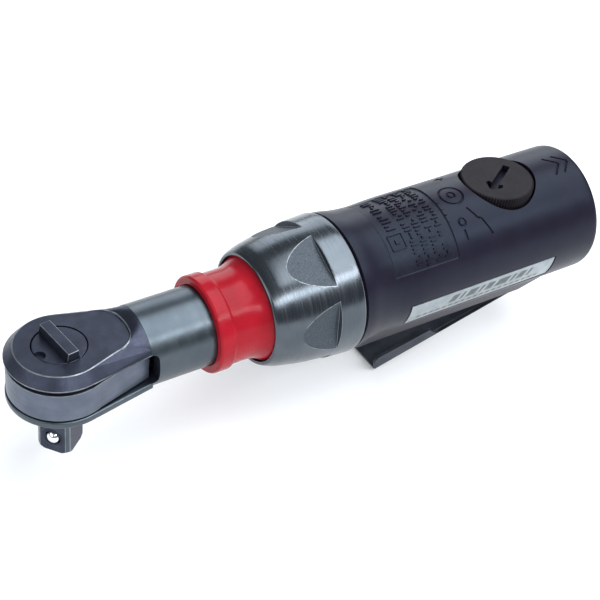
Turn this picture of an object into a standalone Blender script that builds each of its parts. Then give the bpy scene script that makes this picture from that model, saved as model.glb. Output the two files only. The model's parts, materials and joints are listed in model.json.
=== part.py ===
"""Air ratchet with a square drive, as separate pieces on a common tool axis.

Frame: the origin is the centre of the square drive's end face. +Z is up, towards the
reverser knob, and +X runs back along the tool to the air inlet.

Every dimension below is in millimetres and is measured from the point where the drive
axis crosses the tool axis; MM turns it into metres. That point is held by the empty
"tool_axis", to which every piece is parented.
"""

import math

import bmesh
import bpy
from mathutils import Euler, Vector

MM = 0.001
GAP = 0.3
SEGMENTS = 28
SMALL_SEGMENTS = 16
PIN_SEGMENTS = 10

# Head
DRIVE_DROP = 25.5
HEAD_RADIUS = 14.6
HEAD_TOP = 9.3
HEAD_BOTTOM = -8.2
SLOT_HALF_HEIGHT = 5.0
SLOT_END = 23.6
NECK_RADIUS = 11.6
KNOB_RADIUS = 7.2
DETENT_ORBIT = 4.6
ANVIL_RADIUS = 9.0
LOWER_BORE = 9.6
SQUARE = 9.5
SQUARE_TOP = -14.0
SQUARE_TURN = math.radians(218.5)
BALL_RADIUS = 2.1
BALL_REACH = 3.65
BALL_HEIGHT = -20.5

# Yoke and its drive
YOKE_RADIUS = 14.1
YOKE_TIP = 9.9
YOKE_ROOT = 10.8
YOKE_TEETH = 30
YOKE_TAIL_END = 22.0
FORK_HALF_WIDTH = 5.5
CRANK_THROW = 1.0
CRANK_PIN_RADIUS = 1.6
CRANK_RADIUS = 5.0
PAWL_PIVOT = 6.0

# Planetary gear
MODULE = 0.6
SUN_TEETH = 12
PLANET_TEETH = 15
RING_TEETH = SUN_TEETH + 2 * PLANET_TEETH
PLANETS = 3
PLANET_ORBIT = MODULE * (SUN_TEETH + PLANET_TEETH) / 2
ADDENDUM = 0.5
DEDENDUM = 0.75
CARRIER_FRONT = 63.8
CARRIER_REAR = 66.8
GEAR_FRONT = 67.1
GEAR_WIDTH = 4.0

# Clamp nut
NUT_FRONT = 56.5
NUT_MOUTH = 15.5
COLLAR_FRONT = 41.0
NUT_REAR = 83.5
NUT_BORE = 16.4
FLAT_DISTANCE = 18.65
FLAT_REAR = 75.5
FLATS = 6
FLAT_TURN = math.radians(176.0)

# Air motor
MOTOR_RADIUS = 15.3
MOTOR_BORE = 15.6
CYLINDER_FRONT = 76.3
CYLINDER_REAR = 112.0
CYLINDER_BORE = 12.8
CYLINDER_OFFSET = 1.0
ROTOR_RADIUS = 11.5
SHAFT_RADIUS = 2.8
VANES = 5
VANE_THICKNESS = 1.3
VANE_ROOT = 5.9

# Handle
HANDLE_FRONT = 83.8
HANDLE_REAR = 170.0
KEEL_HALF_WIDTH = 8.0
KEEL_DEPTH = 19.5
KEEL_ROUND = 2.0
INLET_BORE = 6.3
EXHAUST_HOLES = 10
REGULATOR_X = 142.2
REGULATOR_RADIUS = 11.1
REGULATOR_TOP = 19.2
VALVE_X = 147.5
VALVE_BORE = 3.4
LABEL_RADIUS = 19.3
LABEL_SPAN = (101.0, 154.0)
LABEL_ANGLES = (math.radians(184.0), math.radians(209.0))

# Throttle lever, as its side view in the plane of X and Z
LEVER_TIP = Vector((101.2, -36.1))
LEVER_PIVOT = Vector((160.0, -18.4))
LEVER_SLOPE = math.radians(13.8)
LEVER_HALF_WIDTH = 7.5
LEVER_SHEET = 1.0

# Edges sharper than this stay crisp
SHARP_ANGLE = math.radians(35.0)

# Direction of a piece's own Z axis: its rotation in degrees
FACING = {"X": (90, 0, 90), "Y": (90, 0, 0), "Z": (0, 0, 0)}


# ---------------------------------------------------------------- scene and materials

def clear_scene():
    for obj in list(bpy.data.objects):
        bpy.data.objects.remove(obj, do_unlink=True)


def new_collection(name):
    collection = bpy.data.collections.new(name)
    bpy.context.scene.collection.children.link(collection)
    return collection


def new_material(name, colour, roughness, metallic):
    material = bpy.data.materials.new(name)
    material.use_nodes = True
    shader = material.node_tree.nodes["Principled BSDF"]
    shader.inputs["Base Color"].default_value = (*colour, 1.0)
    shader.inputs["Roughness"].default_value = roughness
    shader.inputs["Metallic"].default_value = metallic
    material.diffuse_color = (*colour, 1.0)
    return material


clear_scene()
PARTS = new_collection("air_ratchet")
CUTTERS = new_collection("air_ratchet_cutters")

BLACK_STEEL = new_material("black_steel", (0.09, 0.095, 0.11), 0.34, 1.0)
YOKE_STEEL = new_material("yoke_steel", (0.28, 0.31, 0.35), 0.38, 1.0)
NUT_STEEL = new_material("nut_steel", (0.07, 0.075, 0.085), 0.24, 1.0)
BRIGHT_STEEL = new_material("bright_steel", (0.55, 0.55, 0.57), 0.2, 1.0)
GEAR_STEEL = new_material("gear_steel", (0.35, 0.35, 0.37), 0.35, 1.0)
BEARING_STEEL = new_material("bearing_steel", (0.6, 0.6, 0.62), 0.18, 1.0)
RED_PLASTIC = new_material("red_plastic", (0.5, 0.02, 0.03), 0.3, 0.0)
HANDLE_COMPOSITE = new_material("handle_composite", (0.018, 0.019, 0.022), 0.5, 0.0)
KNOB_PLASTIC = new_material("knob_plastic", (0.05, 0.055, 0.055), 0.45, 0.0)
LEVER_PAINT = new_material("lever_paint", (0.07, 0.075, 0.085), 0.4, 0.0)
LABEL_FOIL = new_material("label_foil", (0.75, 0.77, 0.78), 0.28, 1.0)
VANE_LAMINATE = new_material("vane_laminate", (0.25, 0.13, 0.06), 0.6, 0.0)
SEAL_RUBBER = new_material("seal_rubber", (0.015, 0.015, 0.015), 0.6, 0.0)
MUFFLER_FELT = new_material("muffler_felt", (0.35, 0.34, 0.32), 0.95, 0.0)
MOTOR_IRON = new_material("motor_iron", (0.3, 0.3, 0.31), 0.5, 1.0)
BRASS = new_material("brass", (0.65, 0.45, 0.16), 0.3, 1.0)

TOOL_AXIS = bpy.data.objects.new("tool_axis", None)
TOOL_AXIS.location = (0, 0, DRIVE_DROP * MM)
PARTS.objects.link(TOOL_AXIS)


# ---------------------------------------------------------------- shape helpers

def add_object(name, mesh, centre, facing, material=None):
    """Put a mesh in the scene as a piece, or as a cutter when it has no material."""
    obj = bpy.data.objects.new(name, mesh)
    obj.location = Vector(centre) * MM
    obj.rotation_euler = [math.radians(angle) for angle in FACING[facing]]
    if material is None:
        CUTTERS.objects.link(obj)
        obj.hide_render = True
        obj.display_type = "WIRE"
    else:
        PARTS.objects.link(obj)
        mesh.materials.append(material)
    obj.parent = TOOL_AXIS
    return obj


def turned(name, outline, material=None, centre=(0, 0, 0), facing="X", segments=SEGMENTS):
    """Turn an outline of (station, radius) points about the axis it faces along.

    An outline that starts and ends on the axis makes a solid; any other is closed
    into a loop and makes a ring.
    """
    points = [(radius * MM, station * MM) for station, radius in outline]
    pairs = list(zip(points, points[1:] + points[:1]))
    if sum(a[0] * b[1] - b[0] * a[1] for a, b in pairs) > 0:
        points.reverse()
    bm = bmesh.new()
    verts = [bm.verts.new((radius, 0, station)) for radius, station in points]
    for start, end in zip(verts, verts[1:]):
        bm.edges.new((start, end))
    if outline[0][1] > 0:
        bm.edges.new((verts[-1], verts[0]))
    mesh = bpy.data.meshes.new(name)
    bm.to_mesh(mesh)
    bm.free()
    obj = add_object(name, mesh, centre, facing, material)
    screw = obj.modifiers.new("turn", "SCREW")
    screw.steps = segments
    screw.render_steps = segments
    screw.use_merge_vertices = True
    screw.merge_threshold = 0.00001
    screw.use_smooth_shade = False
    return obj


def ring(name, start, end, outer, inner, material=None, chamfer=0.0, **place):
    """Plain ring between two stations, with an optional chamfer on its outer edges."""
    outline = [(start, inner), (start, outer - chamfer)]
    if chamfer:
        outline += [(start + chamfer, outer), (end - chamfer, outer)]
    outline += [(end, outer - chamfer), (end, inner)]
    return turned(name, outline, material, **place)


def rod(name, start, end, radius, material=None, chamfer=0.0, **place):
    """Plain round bar between two stations, with an optional chamfer at both ends."""
    outline = [(start, 0), (start, radius - chamfer)]
    if chamfer:
        outline += [(start + chamfer, radius), (end - chamfer, radius)]
    outline += [(end, radius - chamfer), (end, 0)]
    return turned(name, outline, material, **place)


def box(name, low, high, material=None, bevel=0.0, centre=(0, 0, 0), turn=0.0):
    """Box between two corners, turned about Z through its object's origin."""
    bm = bmesh.new()
    bmesh.ops.create_cube(bm, size=1.0)
    size = Vector(high) - Vector(low)
    middle = (Vector(high) + Vector(low)) / 2
    for vert in bm.verts:
        vert.co = Vector(c * s + m for c, s, m in zip(vert.co, size, middle)) * MM
    mesh = bpy.data.meshes.new(name)
    bm.to_mesh(mesh)
    bm.free()
    obj = add_object(name, mesh, centre, "Z", material)
    obj.rotation_euler.z = turn
    if bevel:
        round_edges(obj, bevel)
    return obj


def round_edges(obj, width, segments=2, angle=40):
    bevel = obj.modifiers.new("round_edges", "BEVEL")
    bevel.width = width * MM
    bevel.segments = segments
    bevel.limit_method = "ANGLE"
    bevel.angle_limit = math.radians(angle)


def ball(name, radius, centre, material, segments=PIN_SEGMENTS):
    bm = bmesh.new()
    bmesh.ops.create_uvsphere(bm, u_segments=segments, v_segments=segments // 2,
                              radius=radius * MM)
    mesh = bpy.data.meshes.new(name)
    bm.to_mesh(mesh)
    bm.free()
    return add_object(name, mesh, centre, "Z", material)


def mesh_from_curve(name, curve, centre, facing, material):
    """Make a filled curve into a closed mesh object and remove the curve."""
    guide = bpy.data.objects.new(name + "_curve", curve)
    CUTTERS.objects.link(guide)
    evaluated = guide.evaluated_get(bpy.context.evaluated_depsgraph_get())
    mesh = bpy.data.meshes.new_from_object(evaluated)
    mesh.name = name
    mesh.materials.clear()
    bpy.data.objects.remove(guide, do_unlink=True)
    bm = bmesh.new()
    bm.from_mesh(mesh)
    bmesh.ops.remove_doubles(bm, verts=bm.verts, dist=0.000001)
    bmesh.ops.recalc_face_normals(bm, faces=bm.faces)
    bm.to_mesh(mesh)
    bm.free()
    return add_object(name, mesh, centre, facing, material)


def prism(name, outlines, start, end, material=None, facing="X", centre=(0, 0, 0)):
    """Flat outline with any holes, made thick from one station to another."""
    curve = bpy.data.curves.new(name, "CURVE")
    curve.dimensions = "2D"
    curve.fill_mode = "BOTH"
    curve.extrude = (end - start) / 2 * MM
    for outline in outlines:
        spline = curve.splines.new("POLY")
        spline.points.add(len(outline) - 1)
        spline.use_cyclic_u = True
        for point, (across, up) in zip(spline.points, outline):
            point.co = (across * MM, up * MM, 0, 1)
    axis = Euler([math.radians(a) for a in FACING[facing]]).to_matrix() @ Vector((0, 0, 1))
    middle = Vector(centre) + axis * (start + end) / 2
    return mesh_from_curve(name, curve, middle, facing, material)


def coil(name, start, end, radius, wire, turns, material, centre, facing="Z"):
    """Compression spring as a wire on a helix with 8 points to a turn."""
    curve = bpy.data.curves.new(name, "CURVE")
    curve.dimensions = "3D"
    curve.bevel_depth = wire * MM
    curve.bevel_resolution = 0
    curve.use_fill_caps = True
    steps = turns * 8
    spline = curve.splines.new("POLY")
    spline.points.add(steps)
    for index, point in enumerate(spline.points):
        angle = 2 * math.pi * turns * index / steps
        height = start + wire + (end - start - 2 * wire) * index / steps
        point.co = (radius * math.cos(angle) * MM, radius * math.sin(angle) * MM, height * MM, 1)
    return mesh_from_curve(name, curve, centre, facing, material)


def hull(name, points, material=None, centre=(0, 0, 0)):
    """Smallest convex solid around a set of points."""
    bm = bmesh.new()
    for point in points:
        bm.verts.new(Vector(point) * MM)
    result = bmesh.ops.convex_hull(bm, input=bm.verts)
    spare = [item for item in result["geom_interior"] if isinstance(item, bmesh.types.BMVert)]
    bmesh.ops.delete(bm, geom=spare, context="VERTS")
    bmesh.ops.dissolve_limit(bm, angle_limit=math.radians(0.5), verts=bm.verts, edges=bm.edges)
    bmesh.ops.recalc_face_normals(bm, faces=bm.faces)
    mesh = bpy.data.meshes.new(name)
    bm.to_mesh(mesh)
    bm.free()
    return add_object(name, mesh, centre, "Z", material)


def circle(radius, count, across=0.0, up=0.0, phase=0.0):
    """Points on a circle in a flat outline's own plane."""
    angles = [phase + 2 * math.pi * index / count for index in range(count)]
    return [(across + radius * math.cos(a), up + radius * math.sin(a)) for a in angles]


def arc(radius, first, last, count, across=0.0, up=0.0):
    """Points along an arc between two angles, both ends included."""
    angles = [first + (last - first) * index / (count - 1) for index in range(count)]
    return [(across + radius * math.cos(a), up + radius * math.sin(a)) for a in angles]


def toothed(teeth, root, tip, phase=0.0):
    """Outline of a gear with slender straight-sided teeth; a tooth sits at the phase angle."""
    pitch = 2 * math.pi / teeth
    corners = ((root, -0.25), (tip, -0.07), (tip, 0.07), (root, 0.25))
    points = []
    for index in range(teeth):
        for radius, share in corners:
            angle = phase + pitch * (index + share)
            points.append((radius * math.cos(angle), radius * math.sin(angle)))
    return points


def boolean(obj, tool, operation):
    modifier = obj.modifiers.new(operation.lower() + "_" + tool.name, "BOOLEAN")
    modifier.operation = operation
    modifier.solver = "EXACT"
    modifier.object = tool


def cut(obj, *tools):
    for tool in tools:
        boolean(obj, tool, "DIFFERENCE")


def join(obj, *tools):
    for tool in tools:
        boolean(obj, tool, "UNION")


# ---------------------------------------------------------------- head

def head_disc(radius, height):
    """Points of a head level: its round front and the narrower run into the neck."""
    front = [(x, y, height) for x, y in circle(radius, SEGMENTS)]
    rear = [(x, y, height) for x, y in circle(radius - 4.0, SEGMENTS, across=SLOT_END - 4.0)]
    return front + rear


def make_ratchet_housing():
    """Forked head, neck and rear flange of the ratchet housing in one forging."""
    upper = hull("head_upper", head_disc(12.4, HEAD_TOP) + head_disc(HEAD_RADIUS, 6.2)
                 + head_disc(HEAD_RADIUS - 1.0, SLOT_HALF_HEIGHT))
    lower = hull("head_lower", head_disc(14.4, -SLOT_HALF_HEIGHT) + head_disc(14.4, -6.8)
                 + head_disc(12.6, HEAD_BOTTOM))
    neck = [(17.0, 0), (17.0, 8.4), (19.4, 10.4), (21.4, NECK_RADIUS), (61.4, NECK_RADIUS),
            (61.4, 15.4), (61.9, 15.9), (66.8, 15.9), (66.8, 0)]
    bore = [(20.0, 0), (20.0, 7.9), (63.5, 7.9), (63.5, 12.6), (70.0, 12.6), (70.0, 0)]
    body = turned("ratchet_housing", neck, BLACK_STEEL)
    slot = box("head_slot", (-20, -20, -SLOT_HALF_HEIGHT), (SLOT_END, 20, SLOT_HALF_HEIGHT))
    round_edges(slot, 1.6, segments=3)
    top_pocket = hull("head_top_pocket", flat_top_level(0.0, HEAD_TOP)
                      + flat_top_level(3.4, HEAD_TOP + 3.4))
    upper_bore = rod("head_upper_bore", 2.0, 14.0, KNOB_RADIUS + GAP, facing="Z")
    lower_bore = rod("head_lower_bore", -14.0, -2.0, LOWER_BORE, facing="Z")
    groove = rod("ring_groove", -7.9, -7.2, LOWER_BORE + 0.7, facing="Z")
    join(body, upper, lower)
    crank_bore = turned("crank_bore", bore)
    cut(body, top_pocket, slot, crank_bore, upper_bore, lower_bore, groove)
    return body


def flat_top_level(spread, height):
    """Points of the flat on top of the head, which runs back into the neck."""
    front = [(x, y, height) for x, y in circle(13.2 + spread, SEGMENTS)]
    corners = []
    for side in (-1, 1):
        corners += [(x, y, height) for x, y in
                    circle(5.6 + spread, 24, across=12.6, up=side * 3.2)]
    return front + corners


def make_yoke():
    """Ring with internal ratchet teeth and a forked tail."""
    ring_points = circle(YOKE_RADIUS, SEGMENTS)
    tail = [(YOKE_TAIL_END, -8.4), (YOKE_TAIL_END, 8.4)]
    tangent = math.radians(66)
    outer = [point for point in ring_points if math.atan2(abs(point[1]), point[0]) > tangent]
    outer.sort(key=lambda point: math.atan2(point[1], point[0]) % (2 * math.pi))
    fork = [(YOKE_TAIL_END, FORK_HALF_WIDTH), (17.6, FORK_HALF_WIDTH),
            (16.2, FORK_HALF_WIDTH - 1.4), (16.2, -FORK_HALF_WIDTH + 1.4),
            (17.6, -FORK_HALF_WIDTH), (YOKE_TAIL_END, -FORK_HALF_WIDTH)]
    outline = outer + [tail[0]] + fork[::-1] + [tail[1]]
    teeth = toothed(YOKE_TEETH, YOKE_ROOT, YOKE_TIP)
    return prism("ratchet_yoke", [outline, teeth], -4.55, 4.35, YOKE_STEEL, facing="Z")


def make_anvil():
    """Square drive with the round body that carries the pawls."""
    outline = [(SQUARE_TOP, 0), (SQUARE_TOP, 6.7), (-6.2, 6.7), (-6.2, 9.2), (-4.9, 9.2),
               (-4.9, ANVIL_RADIUS), (4.6, ANVIL_RADIUS), (4.6, KNOB_RADIUS),
               (6.0, KNOB_RADIUS), (6.0, 0)]
    anvil = turned("drive_anvil", outline, BLACK_STEEL, facing="Z")
    square = box("square_stock", (-SQUARE / 2, -SQUARE / 2, -DRIVE_DROP),
                 (SQUARE / 2, SQUARE / 2, SQUARE_TOP + 1.0), turn=SQUARE_TURN)
    blank = [(-DRIVE_DROP, 0), (-DRIVE_DROP, 4.4), (-24.6, 5.5), (-22.9, 6.25),
             (SQUARE_TOP + 2.0, 6.25), (SQUARE_TOP + 2.0, 0)]
    turned_blank = turned("square_turning", blank, facing="Z")
    boolean(square, turned_blank, "INTERSECT")
    ball_hole = rod("ball_hole", -3.5, 8.0, BALL_RADIUS + GAP, segments=SMALL_SEGMENTS)
    ball_hole.location = (0, 0, BALL_HEIGHT * MM)
    ball_hole.rotation_euler = (math.pi / 2, 0, math.pi / 2 + SQUARE_TURN)
    stem_bore = rod("stem_bore", -2.4, 8.0, 2.0, facing="Z", segments=SMALL_SEGMENTS)
    detent_hole = rod("detent_hole", 1.0, 8.0, 1.2, facing="Z", centre=(0, DETENT_ORBIT, 0),
                      segments=PIN_SEGMENTS)
    join(anvil, square)
    cut(anvil, ball_hole, stem_bore, detent_hole)
    for side in (-1, 1):
        name = "pawl_pocket_" + ("a" if side < 0 else "b")
        low, high = sorted((side * 3.7, side * 11.0))
        cut(anvil, box(name, (low, -5.4, -3.5), (high, 5.4, 3.5)))
        cut(anvil, rod(name + "_pin_hole", -8.0, 4.2, 1.2, facing="Z",
                       centre=(side * PAWL_PIVOT, 0, 0), segments=PIN_SEGMENTS))
    return anvil


def make_pawls():
    """Two double-ended pawls on pins; each is tilted so that one end reaches outwards."""
    for side, letter in ((-1, "a"), (1, "b")):
        nose = [(2.3, 4.2), (1.2, 4.8), (-0.6, 2.5)]
        outline = [(-1.8, 0.0)] + [(x, -y) for x, y in reversed(nose)] + nose
        reach = [(x * side, y * side) for x, y in outline]
        blank = prism("pawl_" + letter, [reach, circle(1.2, PIN_SEGMENTS)], -3.2, 3.2, GEAR_STEEL,
                      facing="Z", centre=(side * PAWL_PIVOT, 0, 0))
        blank.rotation_euler.z = math.radians(3.5)
        rod("pawl_pin_" + letter, -5.9, 3.9, 0.9, BRIGHT_STEEL, chamfer=0.2, facing="Z",
            centre=(side * PAWL_PIVOT, 0, 0), segments=PIN_SEGMENTS)


def make_reverser():
    """Reverser knob with its bar and stem, and the detent that holds it."""
    outline = [(-1.8, 0), (-1.8, 1.7), (6.3, 1.7), (6.3, KNOB_RADIUS), (HEAD_TOP - 0.2, KNOB_RADIUS),
               (HEAD_TOP, KNOB_RADIUS - 0.2), (HEAD_TOP, 0)]
    knob = turned("reverser_knob", outline, BLACK_STEEL, facing="Z")
    bar = box("reverser_bar", (-7.0, -1.6, HEAD_TOP - 1.5), (7.0, 1.6, HEAD_TOP + 2.7),
              bevel=0.3, turn=math.radians(-83.0))
    dimple = rod("reverser_dimple", HEAD_TOP - 1.2, HEAD_TOP + 1.0, 1.6, facing="Z",
                 centre=(-6.1, -1.4, 0), segments=SMALL_SEGMENTS)
    join(knob, bar)
    cut(knob, dimple)
    ball("reverser_detent_ball", 0.85, (0, DETENT_ORBIT, 5.1), BRIGHT_STEEL, segments=8)
    coil("reverser_detent_spring", 1.3, 3.9, 0.65, 0.15, 3, GEAR_STEEL, (0, DETENT_ORBIT, 0))


def make_drive_retention():
    """Thrust washer and open retaining ring under the lower fork, and the socket ball."""
    ring("thrust_washer", -7.0, -6.5, 9.2, 7.1, GEAR_STEEL, facing="Z")
    opening = math.radians(12)
    outline = arc(10.0, opening, 2 * math.pi - opening, 25)
    outline += arc(8.2, 2 * math.pi - opening, opening, 25)
    prism("retaining_ring", [outline], -7.8, -7.3, BRIGHT_STEEL, facing="Z")
    out = Vector((math.cos(SQUARE_TURN), math.sin(SQUARE_TURN), 0))
    ball("socket_detent_ball", BALL_RADIUS, out * BALL_REACH + Vector((0, 0, BALL_HEIGHT)),
         BEARING_STEEL, segments=16)
    spring = coil("socket_detent_spring", -3.2, 0.2, 1.5, 0.25, 3, GEAR_STEEL, (0, 0, BALL_HEIGHT))
    spring.rotation_euler = (math.pi / 2, 0, math.pi / 2 + SQUARE_TURN)


# ---------------------------------------------------------------- crank and gears

def make_crank():
    """Crankshaft with its planet carrier, the throw pin and the bushing it drives."""
    outline = [(22.8, 0), (22.8, 4.2), (25.6, 4.2), (26.0, CRANK_RADIUS),
               (CARRIER_FRONT, CRANK_RADIUS), (CARRIER_FRONT, 12.2), (CARRIER_REAR, 12.2),
               (CARRIER_REAR, 0)]
    crank = turned("crankshaft", outline, GEAR_STEEL)
    throw_pin = rod("throw_pin", 16.7, 24.0, CRANK_PIN_RADIUS, centre=(0, 0, CRANK_THROW),
                    segments=SMALL_SEGMENTS)
    join(crank, throw_pin)
    barrel = [(17.0, 1.9), (17.0, 2.4), (18.0, 2.9), (20.4, 2.9), (21.4, 2.4), (21.4, 1.9)]
    turned("drive_bushing", barrel, BRASS, centre=(0, 0, CRANK_THROW), segments=SMALL_SEGMENTS)
    ring("needle_bearing", 27.0, 39.0, 7.6, CRANK_RADIUS + GAP, BEARING_STEEL)
    for number, angle, seat in planet_seats():
        cut(crank, rod("planet_pin_hole_%d" % number, 62.0, 68.0, 1.8, centre=seat,
                       segments=PIN_SEGMENTS))


def planet_seats():
    """Number, angle about the tool axis and centre of each planet gear."""
    for index in range(PLANETS):
        angle = 2 * math.pi * index / PLANETS
        yield index + 1, angle, (0, PLANET_ORBIT * math.cos(angle), PLANET_ORBIT * math.sin(angle))


def make_gears():
    """Ring gear and planets, set in mesh with the rotor's pinion."""
    module_radius = MODULE / 2
    ring_pitch = RING_TEETH * module_radius
    planet_pitch = PLANET_TEETH * module_radius
    ring_phase = -math.pi / RING_TEETH
    bore = toothed(RING_TEETH, ring_pitch + DEDENDUM, ring_pitch - ADDENDUM, ring_phase)
    prism("ring_gear", [circle(15.9, SEGMENTS), bore], GEAR_FRONT, GEAR_FRONT + 4.5, GEAR_STEEL)
    gear_rear = GEAR_FRONT + GEAR_WIDTH
    for number, angle, seat in planet_seats():
        planet_phase = angle + math.pi - math.pi / PLANET_TEETH
        teeth = toothed(PLANET_TEETH, planet_pitch - DEDENDUM, planet_pitch + ADDENDUM,
                        planet_phase)
        prism("planet_gear_%d" % number, [teeth, circle(1.8, PIN_SEGMENTS)], GEAR_FRONT, gear_rear,
              GEAR_STEEL, centre=seat)
        rod("planet_pin_%d" % number, CARRIER_FRONT + GAP, gear_rear + 0.3, 1.5, BRIGHT_STEEL,
            chamfer=0.2, centre=seat, segments=PIN_SEGMENTS)


# ---------------------------------------------------------------- collar and clamp nut

def make_collar():
    """Red collar around the neck, with a raised rim in front, which flares into the nut's mouth."""
    front, rear = COLLAR_FRONT, NUT_FRONT + 2.0
    inner, flare = NECK_RADIUS + GAP, NUT_MOUTH - GAP
    outline = [(front, inner), (front, 13.5), (front + 0.6, 14.1), (front + 4.3, 14.1),
               (front + 4.6, 13.45), (rear - 7.2, 13.3), (rear - 4.6, 13.6), (rear - 2.7, 14.35),
               (rear - 1.1, flare), (rear, flare), (rear, inner)]
    turned("neck_collar", outline, RED_PLASTIC)


def make_clamp_nut():
    """Bell-shaped nut that clamps the ratchet housing to the motor, with six wrench flats."""
    shoulder = NUT_FRONT + 2.4
    outer = [(shoulder, NUT_MOUTH), (NUT_FRONT + 0.6, NUT_MOUTH), (NUT_FRONT, 16.0),
             (NUT_FRONT + 0.2, 16.6), (NUT_FRONT + 1.2, 17.0), (60.0, 17.8), (64.0, 18.6),
             (68.0, 19.4), (72.0, 20.0), (76.0, 20.4), (82.9, 20.8), (NUT_REAR, 20.4)]
    inner = [(NUT_REAR, 17.3), (74.0, 17.3), (74.0, NUT_BORE), (61.7, NUT_BORE), (61.1, 15.0),
             (61.1, 12.2), (shoulder, 12.2)]
    nut = turned("clamp_nut", outer + inner, NUT_STEEL)
    for index in range(FLATS):
        tool = box("nut_flat_%d" % (index + 1), (NUT_FRONT, -12.0, FLAT_DISTANCE),
                   (FLAT_REAR, 12.0, FLAT_DISTANCE + 6.0))
        tool.rotation_euler.x = FLAT_TURN - math.pi / 2 + 2 * math.pi * index / FLATS
        cut(nut, tool)


# ---------------------------------------------------------------- air motor

def make_motor():
    """Vane motor: end plates, bearings, offset cylinder, rotor with pinion, and vanes."""
    ring("front_end_plate", 72.0, 76.0, MOTOR_RADIUS, 6.8, MOTOR_IRON)
    ring("front_bearing", 72.2, 75.8, 6.5, SHAFT_RADIUS + GAP, BEARING_STEEL,
         segments=SMALL_SEGMENTS)
    shell = circle(MOTOR_RADIUS, SEGMENTS)
    bore = circle(CYLINDER_BORE, SEGMENTS, up=-CYLINDER_OFFSET)
    prism("motor_cylinder", [shell, bore], CYLINDER_FRONT, CYLINDER_REAR, MOTOR_IRON)
    ring("rear_end_plate", 112.3, 116.3, MOTOR_RADIUS, 6.8, MOTOR_IRON)
    ring("rear_bearing", 112.5, 116.1, 6.5, SHAFT_RADIUS + GAP, BEARING_STEEL,
         segments=SMALL_SEGMENTS)
    ring("motor_gasket", 116.6, 117.6, MOTOR_RADIUS, 9.0, SEAL_RUBBER)
    make_rotor()


def make_rotor():
    core_front = CYLINDER_FRONT + GAP
    core_rear = CYLINDER_REAR - GAP
    slot_half = VANE_THICKNESS / 2 + GAP
    slot_angle = math.asin(slot_half / ROTOR_RADIUS)
    share = 2 * math.pi / VANES
    outline = []
    for index in range(VANES):
        middle = share * index
        outline += arc(ROTOR_RADIUS, middle + slot_angle, middle + share - slot_angle, 7)
        across = Vector((-math.sin(middle + share), math.cos(middle + share)))
        root = Vector((math.cos(middle + share), math.sin(middle + share))) * (VANE_ROOT - GAP)
        outline += [tuple(root - across * slot_half), tuple(root + across * slot_half)]
    rotor = prism("rotor", [outline], core_front, core_rear, GEAR_STEEL)
    sun_pitch = SUN_TEETH * MODULE / 2
    pinion = prism("pinion_teeth", [toothed(SUN_TEETH, sun_pitch - DEDENDUM, sun_pitch + ADDENDUM)],
                   GEAR_FRONT, GEAR_FRONT + 4.2)
    shaft = rod("rotor_shaft", GEAR_FRONT + 2.0, 116.3, SHAFT_RADIUS, segments=SMALL_SEGMENTS)
    join(rotor, shaft, pinion)
    for index in range(VANES):
        vane = box("vane_%d" % (index + 1), (core_front + 0.1, VANE_ROOT, -VANE_THICKNESS / 2),
                   (core_rear - 0.1, ROTOR_RADIUS - 0.2, VANE_THICKNESS / 2), VANE_LAMINATE)
        vane.rotation_euler.x = share * index


# ---------------------------------------------------------------- handle

def keel_section(station, radius, drop, half_width=KEEL_HALF_WIDTH):
    """Round section of the handle with the two rounded corners of its flat keel."""
    section = [(station, y, z) for y, z in circle(radius, SEGMENTS)]
    for side in (-1, 1):
        section += [(station, y, z) for y, z in
                    circle(KEEL_ROUND, 16, across=side * half_width, up=-drop)]
    return section


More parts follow.
